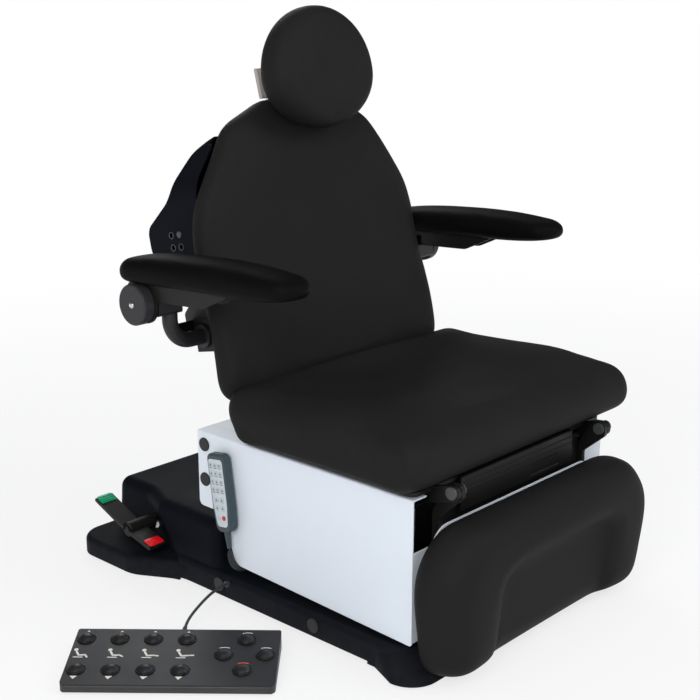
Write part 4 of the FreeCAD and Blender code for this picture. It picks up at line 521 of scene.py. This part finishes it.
def turned(bm, profile, centre, axis):
    """Solid of revolution: profile of (radius, height) pairs, in millimetres, about an axis through centre."""
    steps = 40
    turn = Vector(axis).to_track_quat("Z", "Y")
    rings = []
    for radius, height in profile:
        ring = []
        for i in range(steps):
            angle = 2 * math.pi * i / steps
            point = Vector((radius * math.cos(angle), radius * math.sin(angle), height))
            ring.append(bm.verts.new((Vector(centre) + turn @ point) * MM))
        rings.append(ring)
    for low, high in zip(rings, rings[1:]):
        for i in range(steps):
            j = (i + 1) % steps
            bm.faces.new((low[i], low[j], high[j], high[i]))
    bm.faces.new(reversed(rings[0]))
    bm.faces.new(rings[-1])


def rounded_outline(corners, steps=6):
    """Points round a closed outline of (a, b, radius) corners, each rounded by an arc."""
    points = []
    count = len(corners)
    for i, (a, b, radius) in enumerate(corners):
        here = Vector((a, b))
        before = (Vector(corners[i - 1][:2]) - here).normalized()
        after = (Vector(corners[(i + 1) % count][:2]) - here).normalized()
        if radius <= 0:
            points.append(here)
            continue
        half = before.angle(after) / 2
        reach = radius / math.tan(half)
        centre = here + (before + after).normalized() * (radius / math.sin(half))
        first = here + before * reach - centre
        last = here + after * reach - centre
        sweep = first.angle_signed(last)
        for k in range(steps + 1):
            points.append(centre + Matrix.Rotation(-sweep * k / steps, 2) @ first)
    return points


def box_outline(a, b, wide, high, radius):
    left, right, low, top = a - wide / 2, a + wide / 2, b - high / 2, b + high / 2
    return rounded_outline([(left, low, radius), (right, low, radius), (right, top, radius), (left, top, radius)])


def disc_outline(a, b, radius, steps=24):
    angles = [2 * math.pi * i / steps for i in range(steps)]
    return [Vector((a + radius * math.cos(angle), b + radius * math.sin(angle))) for angle in angles]


def raised(bm, points, lay, height, rim, sink=0.4):
    """Adds a low plate over an outline: its foot is sunk into what carries it, and its rim is rounded."""
    middle = sum(points, Vector((0, 0))) / len(points)
    levels = [(0.0, -sink), (0.0, height - rim), (rim * 0.3, height - rim * 0.3), (rim, height)]
    rings = []
    for inset, level in levels:
        ring = []
        for point in points:
            inward = middle - point
            length = inward.length
            moved = point + inward * min(inset / length, 0.6) if length > 0 else point
            ring.append(bm.verts.new(lay(moved.x, moved.y, level) * MM))
        rings.append(ring)
    count = len(points)
    for low, high in zip(rings, rings[1:]):
        for i in range(count):
            j = (i + 1) % count
            bm.faces.new((low[i], low[j], high[j], high[i]))
    bm.faces.new(reversed(rings[0]))
    bm.faces.new(rings[-1])


def stroke_outline(a0, b0, a1, b1, width):
    """Round-ended bar between two points, for drawn signs."""
    start, stop = Vector((a0, b0)), Vector((a1, b1))
    along = (stop - start).normalized()
    angle = math.atan2(along.y, along.x)
    points = []
    for centre, first in ((stop, angle - math.pi / 2), (start, angle + math.pi / 2)):
        for k in range(7):
            turn = first + math.pi * k / 6
            points.append(centre + Vector((math.cos(turn), math.sin(turn))) * (width / 2))
    return points


def arc_outline(a, b, radius, start, stop, width, steps=14):
    """Closed outline of a curved bar: its outer side, then its inner side back again."""
    angles = [math.radians(start + (stop - start) * k / steps) for k in range(steps + 1)]
    outer, inner = radius + width / 2, radius - width / 2
    points = [Vector((a + outer * math.cos(angle), b + outer * math.sin(angle))) for angle in angles]
    points += [Vector((a + inner * math.cos(angle), b + inner * math.sin(angle))) for angle in reversed(angles)]
    return points


def strip_faces(bm, points, lay, height):
    """Thin raised mark over an outline made of two equal sides, as an arc is."""
    half = len(points) // 2
    outer, inner = points[:half], points[half:][::-1]
    rows = []
    for level in (-0.3, height):
        rows.append(([bm.verts.new(lay(p.x, p.y, level) * MM) for p in outer],
                     [bm.verts.new(lay(p.x, p.y, level) * MM) for p in inner]))
    (low_out, low_in), (top_out, top_in) = rows
    for i in range(half - 1):
        bm.faces.new((top_out[i], top_out[i + 1], top_in[i + 1], top_in[i]))
        bm.faces.new((low_out[i + 1], low_out[i], low_in[i], low_in[i + 1]))
        bm.faces.new((low_out[i], low_out[i + 1], top_out[i + 1], top_out[i]))
        bm.faces.new((low_in[i + 1], low_in[i], top_in[i], top_in[i + 1]))
    bm.faces.new((low_out[0], top_out[0], top_in[0], low_in[0]))
    bm.faces.new((low_in[-1], top_in[-1], top_out[-1], low_out[-1]))


# Places on the solids, in millimetres

def back_place(x, deep, up):
    turn = math.radians(BACK_RECLINE)
    return Vector((x, BACK_HINGE[0] + deep * math.cos(turn) + up * math.sin(turn),
                   BACK_HINGE[1] + up * math.cos(turn) - deep * math.sin(turn)))


def hand_place(a, b, h):
    """On the hand control's face: a to the viewer's right, b up along it, h out from it."""
    turn = math.radians(HAND_LEAN)
    return Vector((HAND_FACE_X - h, HAND_MIDDLE[0] - a * math.cos(turn) + b * math.sin(turn),
                   HAND_MIDDLE[1] + a * math.sin(turn) + b * math.cos(turn)))


def foot_place(a, b, h):
    """On the foot control's sloping top: a along it, b towards its rear, h up."""
    turn = math.radians(FOOT_TURN)
    slope = (FOOT_TOP[1] - FOOT_TOP[0]) / (2 * FOOT_HALF[1])
    top = (FOOT_TOP[0] + FOOT_TOP[1]) / 2 + slope * b
    return Vector((FOOT_MIDDLE[0] + a * math.cos(turn) - b * math.sin(turn),
                   FOOT_MIDDLE[1] + a * math.sin(turn) + b * math.cos(turn), top + h))


# Cords

def cord_curve(name, route):
    """Smooth line with the route's points as its control points, in metres."""
    data = bpy.data.curves.new(name, "CURVE")
    data.dimensions = "3D"
    data.resolution_u = 24
    spline = data.splines.new("NURBS")
    spline.points.add(len(route) - 1)
    for point, place in zip(spline.points, route):
        point.co = (*[v * MM for v in place], 1.0)
    spline.order_u = 3
    spline.use_endpoint_u = True
    obj = bpy.data.objects.new(name, data)
    SCENE.collection.objects.link(obj)
    return obj


def line_points(curve):
    """Points along a curve that has no bevel yet."""
    mesh = bpy.data.meshes.new_from_object(curve.evaluated_get(bpy.context.evaluated_depsgraph_get()))
    points = [v.co.copy() for v in mesh.vertices]
    bpy.data.meshes.remove(mesh)
    return points


def curly_cord():
    """Hand control's cord: a close helix that runs straight into both of its ends."""
    guide = cord_curve("curl_guide", HAND_CORD_ROUTE)
    bpy.context.view_layer.update()
    line = line_points(guide)
    bpy.data.objects.remove(guide)
    steps = [0.0]
    for before, after in zip(line, line[1:]):
        steps.append(steps[-1] + (after - before).length)
    total = steps[-1]
    wire = 3.2 * MM
    coil = 5.1 * MM
    pitch = 4.3 * MM
    lead = 14.0 * MM
    per_turn = 14
    count = int(total / pitch * per_turn)
    side = Vector((0.0, 1.0, 0.0))
    places = []
    for i in range(count + 1):
        travel = total * i / count
        k = 0
        while k < len(line) - 2 and steps[k + 1] < travel:
            k += 1
        run = steps[k + 1] - steps[k]
        here = line[k].lerp(line[k + 1], (travel - steps[k]) / run)
        along = (line[k + 1] - line[k]).normalized()
        across = (side - along * side.dot(along)).normalized()
        other = along.cross(across)
        swell = min(1.0, travel / lead, (total - travel) / lead)
        swell = swell * swell * (3 - 2 * swell)
        angle = 2 * math.pi * i / per_turn
        places.append(here + (across * math.cos(angle) + other * math.sin(angle)) * coil * swell)
    cord = cord_curve("hand_control_cord", [p / MM for p in places])
    cord.data.resolution_u = 2
    cord.data.bevel_depth = wire / 2
    cord.data.bevel_resolution = 3
    cord.data.use_fill_caps = True
    cord.data.materials.append(FINISHES["cord"])
    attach(cord, "carriage")
    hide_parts("handset_cord")


def foot_control_cord():
    cord = cord_curve("foot_control_cord", FOOT_CORD_ROUTE)
    cord.data.bevel_depth = FOOT_CORD_THICK / 2
    cord.data.bevel_resolution = 5
    cord.data.use_fill_caps = True
    cord.data.materials.append(FINISHES["cord"])
    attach(cord, "base")
    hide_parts("foot_cord")


# Pads

PAD_PRESSURE = 0.5
PAD_FRAMES = 20
PAD_HELD_DEPTH = 0.016


def ease(low, high, value):
    """Soft step from 0 at low to 1 at high."""
    t = max(0.0, min(1.0, (value - low) / (high - low)))
    return t * t * (3 - 2 * t)


def dome(value, half):
    """Soft bump of 1 at zero that ends at half to each side."""
    t = min(1.0, abs(value) / half)
    return (1 - t * t) ** 2


def evaluated_mesh(obj):
    graph = bpy.context.evaluated_depsgraph_get()
    return bpy.data.meshes.new_from_object(obj.evaluated_get(graph))


def baked(obj):
    """Leaves the object with the mesh that its modifiers give."""
    mesh = evaluated_mesh(obj)
    old = obj.data
    obj.modifiers.clear()
    obj.data = mesh
    bpy.data.meshes.remove(old)


def plumped(pad, travel, held):
    """Swells the cover as foam does: its foot is held, and each point keeps to a short travel."""
    start = [v.co.copy() for v in pad.data.vertices]
    cloth = pad.modifiers.new("cover", "CLOTH")
    cover = cloth.settings
    cover.quality = 4
    cover.mass = 0.3
    cover.tension_stiffness = 14.0
    cover.compression_stiffness = 14.0
    cover.shear_stiffness = 6.0
    cover.bending_stiffness = 1.2
    cover.use_pressure = True
    cover.uniform_pressure_force = PAD_PRESSURE
    cover.effector_weights.gravity = 0.0
    pad.vertex_groups.new(name="held").add(held, 1.0, "REPLACE")
    cover.vertex_group_mass = "held"
    cloth.point_cache.frame_start = 1
    cloth.point_cache.frame_end = PAD_FRAMES
    for step in range(1, PAD_FRAMES + 1):
        SCENE.frame_set(step)
    baked(pad)
    pad.vertex_groups.clear()
    SCENE.frame_set(1)
    for vertex, origin in zip(pad.data.vertices, start):
        move = vertex.co - origin
        if move.length > travel:
            vertex.co = origin + move * (travel / move.length)


def relaxed(pad, times, soft=None):
    """Smooths a pad, more where soft(x, y, z) is near 1."""
    smooth = pad.modifiers.new("relax", "SMOOTH")
    smooth.factor = 0.5
    smooth.iterations = times
    if soft:
        group = pad.vertex_groups.new(name="soft")
        for vertex in pad.data.vertices:
            group.add([vertex.index], soft(*(vertex.co / MM)), "REPLACE")
        smooth.vertex_group = "soft"
    baked(pad)
    pad.vertex_groups.clear()


def drawn_in(pad, depth):
    """Moves the cover inwards, or outwards with a negative depth."""
    normals = [v.normal.copy() for v in pad.data.vertices]
    for vertex, normal in zip(pad.data.vertices, normals):
        vertex.co -= normal * depth * MM


def upholstered(name, node, body, shape, support, normal, times, voxel=6.0, soft=None, soft_times=0,
                travel=5.0, full=2.0, cover=FINISHES["vinyl"]):
    """Pad made from its solid: remeshed, shaped, swelled as a filled cover and bedded on its support."""
    mesh = NODES[node].data.copy()
    bm = bmesh.new()
    bm.from_mesh(mesh)
    bmesh.ops.remove_doubles(bm, verts=bm.verts[:], dist=1e-5)
    bm.to_mesh(mesh)
    bm.free()
    mesh.materials.clear()
    pad = bpy.data.objects.new(name, mesh)
    SCENE.collection.objects.link(pad)
    remesh = pad.modifiers.new("even", "REMESH")
    remesh.mode = "VOXEL"
    remesh.voxel_size = voxel * MM
    baked(pad)
    for vertex in pad.data.vertices:
        vertex.co = Vector(shape(*(vertex.co / MM))) * MM
    drawn_in(pad, -full)
    relaxed(pad, times)
    if soft:
        relaxed(pad, soft_times, soft)
    out = Vector(normal).normalized()
    foot = Vector(support) * MM
    drawn_in(pad, 1.0)
    held = [v.index for v in pad.data.vertices if (v.co - foot).dot(out) > -PAD_HELD_DEPTH]
    plumped(pad, travel * MM, held)
    relaxed(pad, 4)
    for vertex in pad.data.vertices:
        beyond = (vertex.co - foot).dot(out)
        if beyond > 0:
            vertex.co -= out * beyond
    for face in pad.data.polygons:
        face.use_smooth = True
    pad.data.materials.append(cover)
    finer = pad.modifiers.new("finer", "SUBSURF")
    finer.levels = 1
    finer.render_levels = 1
    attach(pad, body)
    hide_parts(node)


def seat_shape(x, y, z):
    """Scooped middle that runs out towards the rear edge, with full sides and a rolled front."""
    top = ease(420, 470, z)
    scoop = 17 * dome(x, 262) * ease(-318, -170, y) * ease(175, 70, y)
    tuck = 13 * ease(425, 371, z) * ease(60, 160, y)
    swell = 8 * dome(z - 440, 64) * ease(80, 160, y)
    trim = 9 * ease(-160, -330, y)
    rear = (8 + 7 * dome(x, 300)) * ease(20, 150, y)
    wide = math.copysign(swell - tuck - trim, x) * ease(200, 340, abs(x))
    return (x + wide, y - tuck + swell, z - top * (scoop - rear))


def back_shape(x, y, z):
    """Shallow hollow between two side rolls, with some support low down and a bend near the top."""
    turn = math.radians(BACK_RECLINE)
    forward, upward = y - BACK_HINGE[0], z - BACK_HINGE[1]
    deep = forward * math.cos(turn) - upward * math.sin(turn)
    up = forward * math.sin(turn) + upward * math.cos(turn)
    x *= 1 + 0.013 * dome(up - 450, 100) - 0.03 * ease(560, 612, up)
    front = ease(-28, -56, deep)
    hollow = 13 * dome(x, 250 - 60 * ease(330, 560, up))
    hollow *= ease(20, 140, up) * (1 - 0.6 * ease(420, 600, up))
    small_of_back = 7 * dome(up - 170, 130) * dome(x, 260)
    deep += front * (hollow - small_of_back)
    up -= 12 * ease(110, 22, up)
    place = back_place(x, deep, up)
    bend = -9 * dome(z - 540, 140) + 6 * dome(z - 790, 170) + 5 * ease(900, 1010, z)
    return (x, place.y + bend, place.z)


def leg_shape(x, y, z):
    """Calf hollow framed by a roll at each side and along the top."""
    front = ease(-360, -395, y)
    roll = 6 * dome(abs(x) - 285, 80) * ease(300, 200, z) + 5 * dome(z - 250, 60) * ease(320, 200, abs(x))
    lean = (6 if z > 160 else 9) * ease(-310, -380, y) * (z - 160) / 140
    high = z + 4 * ease(250, 300, z) - 6 * ease(100, 40, z)
    return (x * (1 - 0.042 * ease(-345, -412, y)), y - front * roll - lean, high)


def leg_hollow(x, y, z):
    """1 in the calf hollow, where the pad is smoothed most."""
    return ease(-330, -375, y) * ease(340, 290, abs(x)) * ease(300, 255, z)


def head_shape(x, y, z):
    """Shallow upright groove down the face."""
    front = ease(250, 205, y)
    groove = 6 * math.exp(-(x / 40) ** 2) * dome(z - 1090, 170)
    return (x, y + front * groove, z)


def arm_shape(side):
    """Long egg of a pad: fullest in the middle, drawn down to a low front tip and a blunter rear end."""
    slope = math.radians(ARM_SLOPE)
    level, centre, half = 716.0, 133.0, 241.0
    middle = side * 406

    def shape(x, y, z):
        ahead, above = y - ARM_HUB[0], z - ARM_HUB[1]
        along = ARM_HUB[0] + ahead * math.cos(slope) - above * math.sin(slope)
        high = ARM_HUB[1] + ahead * math.sin(slope) + above * math.cos(slope)
        front = max(0.0, (centre - along) / half)
        rear = max(0.0, (along - centre) / half)
        if high > level:
            thick = 1.09 - 0.46 * front ** 2.4 - 0.28 * rear ** 3.5
        else:
            thick = 1.0 + 0.14 * dome(front - 0.5, 0.5) - 0.34 * front ** 3 - 0.28 * rear ** 3.5
        wide = 1.04 - 0.14 * front ** 2.6 - 0.1 * rear ** 3
        crown = 6 * dome(x - middle, 60) * ease(720, 742, high) * (1 - min(1.0, front + rear) ** 2)
        high = level - 5 * front ** 2 - 4 * rear ** 3 + (high - level) * thick + crown
        ahead, above = (along - centre) * 1.02 + centre - ARM_HUB[0], high - ARM_HUB[1]
        return (middle + (x - middle) * wide,
                ARM_HUB[0] + ahead * math.cos(slope) + above * math.sin(slope),
                ARM_HUB[1] - ahead * math.sin(slope) + above * math.cos(slope))
    return shape


def make_pads():
    upholstered("seat_pad", "seat_cushion", "seat", seat_shape, (0, 0, 370.3), (0, 0, -1), 16, travel=6.0, full=1.0)
    turn = math.radians(BACK_RECLINE)
    upholstered("back_pad", "back_cushion", "back", back_shape, back_place(0, -6.0, 300),
                (0, math.cos(turn), -math.sin(turn)), 14)
    upholstered("leg_pad", "leg_cushion", "leg", leg_shape, (0, -306.0, 0), (0, 1, 0), 8,
                soft=leg_hollow, soft_times=60)
    lean = math.radians(9.0)
    upholstered("head_pad", "headrest_pad", "head", head_shape,
                (0, 243 + 45 * math.cos(lean), 1096 - 45 * math.sin(lean)),
                (0, math.cos(lean), -math.sin(lean)), 14, voxel=4.5, travel=4.0)
    # The arm pads take the darker copy of the vinyl, painted shade.
    for side, sign in SIDES:
        low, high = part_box("arm_pad_" + side)
        upholstered("arm_rest_pad_" + side, "arm_pad_" + side, "arm_" + side, arm_shape(sign),
                    (0, 0, low.z / MM - 5), (0, 0, -1), 10, voxel=4.5, travel=4.0, cover=ARM_VINYL_PAINTED_SHADE)


# Small fittings

def hand_control_keys():
    """Pale keypad film with rows of keys, drawn signs and one red key."""
    film = bmesh.new()
    outline = rounded_outline([(-15.5, -72, 9), (15.5, -72, 9), (21, -24, 30), (21, 74, 7), (-21, 74, 7),
                               (-21, -24, 30)])
    raised(film, outline, hand_place, 0.6, 0.3)
    smooth_faces(film)
    piece("keypad_film", film, KEYPAD_FILM, "carriage")
    keys, ink, red = bmesh.new(), bmesh.new(), bmesh.new()

    def lay_ink(a, b, h):
        return hand_place(a, b, h + 1.9)

    for row in range(4):
        b = 60 - 17.5 * row
        for column in (-1, 0, 1):
            a = 13.4 * column
            raised(keys, box_outline(a, b, 10.6, 12.5, 2.4), hand_place, 1.9, 0.6)
            flip = -1 if (row + column) % 2 else 1
            foot, tip = b + 1.2 - 1.6 * flip, b + 1.2 + 2.6 * flip
            raised(ink, [Vector((a - 2.6, foot)), Vector((a + 2.6, foot)), Vector((a, tip))], lay_ink, 0.12, 0.05)
            raised(ink, stroke_outline(a - 3.0, b - 4.2, a + 3.0, b - 4.2, 1.0), lay_ink, 0.12, 0.05)
    for row in range(2):
        b = -14 - 17.0 * row
        for column in (-1, 1):
            raised(keys, box_outline(8.4 * column, b, 12.0, 11.5, 3.0), hand_place, 1.9, 0.6)
            raised(ink, disc_outline(8.4 * column, b, 1.9), lay_ink, 0.12, 0.05)
    raised(red, disc_outline(7.5, -52, 5.2), hand_place, 2.3, 1.0)
    raised(keys, disc_outline(-6.5, -52, 4.4), hand_place, 1.9, 0.7)
    trims = (("key_faces", keys, KEY_FACE), ("key_signs", ink, KEY_INK), ("stop_key", red, RED_KEY))
    for name, bm, material in trims:
        smooth_faces(bm)
        piece(name, bm, material, "carriage")


def pedal_tabs():
    """Ribbed coloured caps over the two ends of the brake pedal."""
    for name, material, tip, root in (("brake_tab_release", GREEN_TAB, (596.0, 138.5), (488.0, 94.5)),
                                      ("brake_tab_set", RED_TAB, (404.0, 73.5), (488.0, 94.5))):
        along = Vector((root[0] - tip[0], root[1] - tip[1])).normalized()
        up = Vector((-along.y, along.x)) if along.x > 0 else Vector((along.y, -along.x))

        def lay(a, b, h):
            return Vector((-350.0 + a, tip[0] + along.x * b + up.x * h, tip[1] + along.y * b + up.y * h))

        bm = bmesh.new()
        raised(bm, rounded_outline([(-20, 1, 5), (20, 1, 5), (20, 26, 3), (-20, 26, 3)]), lay, 2.0, 0.8, sink=4.0)
        for rib in range(3):
            raised(bm, box_outline(0, 7 + 6.5 * rib, 30, 2.4, 1.1), lay, 2.8, 0.6, sink=-1.5)
        smooth_faces(bm)
        piece(name, bm, material, "brake")


def hub_screws():
    """Small cap screws in the middle of the arm hubs."""
    profile = [(6.4, -0.5), (6.4, 0.4), (6.0, 0.8), (5.0, 0.8), (4.9, 2.2), (4.2, 2.8), (2.6, 3.0), (2.3, 3.0),
               (2.3, 1.4)]
    for side, sign in SIDES:
        bm = bmesh.new()
        turned(bm, profile, (sign * 460.0, *ARM_HUB), (sign, 0, 0))
        smooth_faces(bm, 30)
        piece("hub_screw_" + side, bm, SCREW_STEEL, "arm_" + side)


def shell_hole_trims():
    """Pressed eyelets in the accessory holes, and a cap in one of them."""
    rings, caps = bmesh.new(), bmesh.new()
    eyelet = [(5.6, -3.0), (7.6, -0.4), (7.8, 0.4), (7.0, 1.2), (6.2, 1.2), (5.6, 0.4)]
    cap = [(5.3, -3.0), (7.2, -0.3), (7.4, 0.6), (6.4, 1.6), (3.5, 2.1), (0.4, 2.2)]
    for sign in (-1, 1):
        for deep, up in ((66, 340), (92, 340), (92, 366)):
            turned_ring(rings, eyelet, back_place(sign * 290.0, deep, up), (sign, 0, 0))
        turned(caps, cap, back_place(sign * 290.0, 66, 366), (sign, 0, 0))
    smooth_faces(rings, 60)
    smooth_faces(caps, 60)
    piece("accessory_eyelets", rings, EYELET_GREY, "back")
    piece("accessory_caps", caps, EYELET_GREY, "back")


def turned_ring(bm, profile, centre, axis):
    """Ring of revolution whose profile closes on itself."""
    steps = 32
    turn = Vector(axis).to_track_quat("Z", "Y")
    loops = []
    for i in range(steps):
        angle = 2 * math.pi * i / steps
        loop = []
        for radius, height in profile:
            point = Vector((radius * math.cos(angle), radius * math.sin(angle), height))
            loop.append(bm.verts.new((Vector(centre) + turn @ point) * MM))
        loops.append(loop)
    count = len(profile)
    for i in range(steps):
        here, there = loops[i], loops[(i + 1) % steps]
        for k in range(count):
            n = (k + 1) % count
            bm.faces.new((here[k], there[k], there[n], here[n]))


def foot_control_signs():
    """Drawn signs between the buttons: a reclining sitter, arrowheads and arcs, and the buttons' bezels."""
    ink, bezels, orange = bmesh.new(), bmesh.new(), bmesh.new()
    bezel = [(16.7, -1.5), (19.2, -1.5), (19.2, 0.5), (18.4, 1.3), (17.2, 1.3), (16.7, 0.6)]
    high, rim, b = 0.3, 0.1, 6
    for i in range(4):
        a = -178 + 65.5 * i
        lean = 4 + 5 * i
        raised(ink, disc_outline(a - 12, b + 12, 4.2), foot_place, high, rim)
        shin = (11 + lean * 0.4, -14 + lean * 0.55)
        for start, stop, width in (((-10, 5.5), (-4, -6), 4.2), ((-4, -6), (8, -4.5), 4.2),
                                   ((8, -4.5), shin, 3.6), ((-13, -12), (4, -12), 2.2)):
            bar = stroke_outline(a + start[0], b + start[1], a + stop[0], b + stop[1], width)
            raised(ink, bar, foot_place, high, rim)
        for row, tip, size in ((56.4, 1, 3.2), (-43.6, -1, 7.0)):
            base = row + tip * 22
            arrow = [Vector((a - size, base)), Vector((a + size, base)), Vector((a, base + tip * 1.35 * size))]
            raised(ink, arrow, foot_place, high, rim)
            turned_ring(bezels, bezel, foot_place(a, row, 0), (0, 0, 1))
    for a, b in ((134.5, 55.9), (94.5, 6.4), (174.5, 6.4)):
        strip_faces(ink, arc_outline(a, b, 22.5, 64, 116, 1.8), foot_place, high)
        turned_ring(bezels, bezel, foot_place(a, b, 0), (0, 0, 1))
    strip_faces(orange, arc_outline(134.5, -43.1, 22.5, 62, 118, 2.2), foot_place, high)
    turned_ring(bezels, bezel, foot_place(134.5, -43.1, 0), (0, 0, 1))
    smooth_faces(bezels, 50)
    piece("foot_signs", ink, WHITE_INK, "base")
    piece("foot_stop_sign", orange, ORANGE_INK, "base")
    piece("button_bezels", bezels, FINISHES["plug"], "base")


def apron_cover():
    """Pressed sheet on the seat's front apron, with two creases and a sunk window."""
    bm = bmesh.new()
    face = -305.0
    columns = [-187.5, 40.0, 43.0, 137.0, 140.0, 187.5]
    rows = [(301, "plain"), (308, "plain"), (310, "window"), (332, "window"), (334, "plain"), (342, "plain"),
            (343.5, "crease"), (345, "plain"), (355, "plain"), (356.5, "crease"), (358, "plain"), (369, "plain")]
    front, rear = [], []
    for z, mark in rows:
        front_row = []
        for i, x in enumerate(columns):
            sunk = 1.6 if mark == "crease" or (mark == "window" and i in (2, 3)) else 0.0
            front_row.append(bm.verts.new(Vector((x, face - 2.2 + sunk, z)) * MM))
        front.append(front_row)
        rear.append([bm.verts.new(Vector((x, face + 0.2, z)) * MM) for x in columns])
    last_row, last = len(rows) - 1, len(columns) - 1
    for k in range(last_row):
        for i in range(last):
            bm.faces.new((front[k][i], front[k][i + 1], front[k + 1][i + 1], front[k + 1][i]))
            bm.faces.new((rear[k][i + 1], rear[k][i], rear[k + 1][i], rear[k + 1][i + 1]))
        for i in (0, last):
            bm.faces.new((front[k][i], front[k + 1][i], rear[k + 1][i], rear[k][i]))
    for i in range(last):
        for k in (0, last_row):
            bm.faces.new((front[k][i], rear[k][i], rear[k][i + 1], front[k][i + 1]))
    piece("apron_cover", bm, FINISHES["black_enamel"], "seat")


def arm_mount_gussets():
    """Web plates that stand on the arm mount blocks, behind the back's edge."""
    outline = rounded_outline([(-4, 178, 0), (88, 178, 6), (88, 200, 10), (34, 246, 12), (-4, 246, 4)])
    for side, sign in SIDES:
        bm = bmesh.new()
        raised(bm, outline, lambda a, b, h: back_place(sign * (288 + h), a, b), 6.0, 0.8, sink=2.0)
        smooth_faces(bm, 30)
        piece("arm_mount_gusset_" + side, bm, FINISHES["black_enamel"], "back")


studio_camera()
curly_cord()
foot_control_cord()
studio_room()
dress_solids()
make_pads()
hand_control_keys()
pedal_tabs()
hub_screws()
shell_hole_trims()
foot_control_signs()
apron_cover()
arm_mount_gussets()
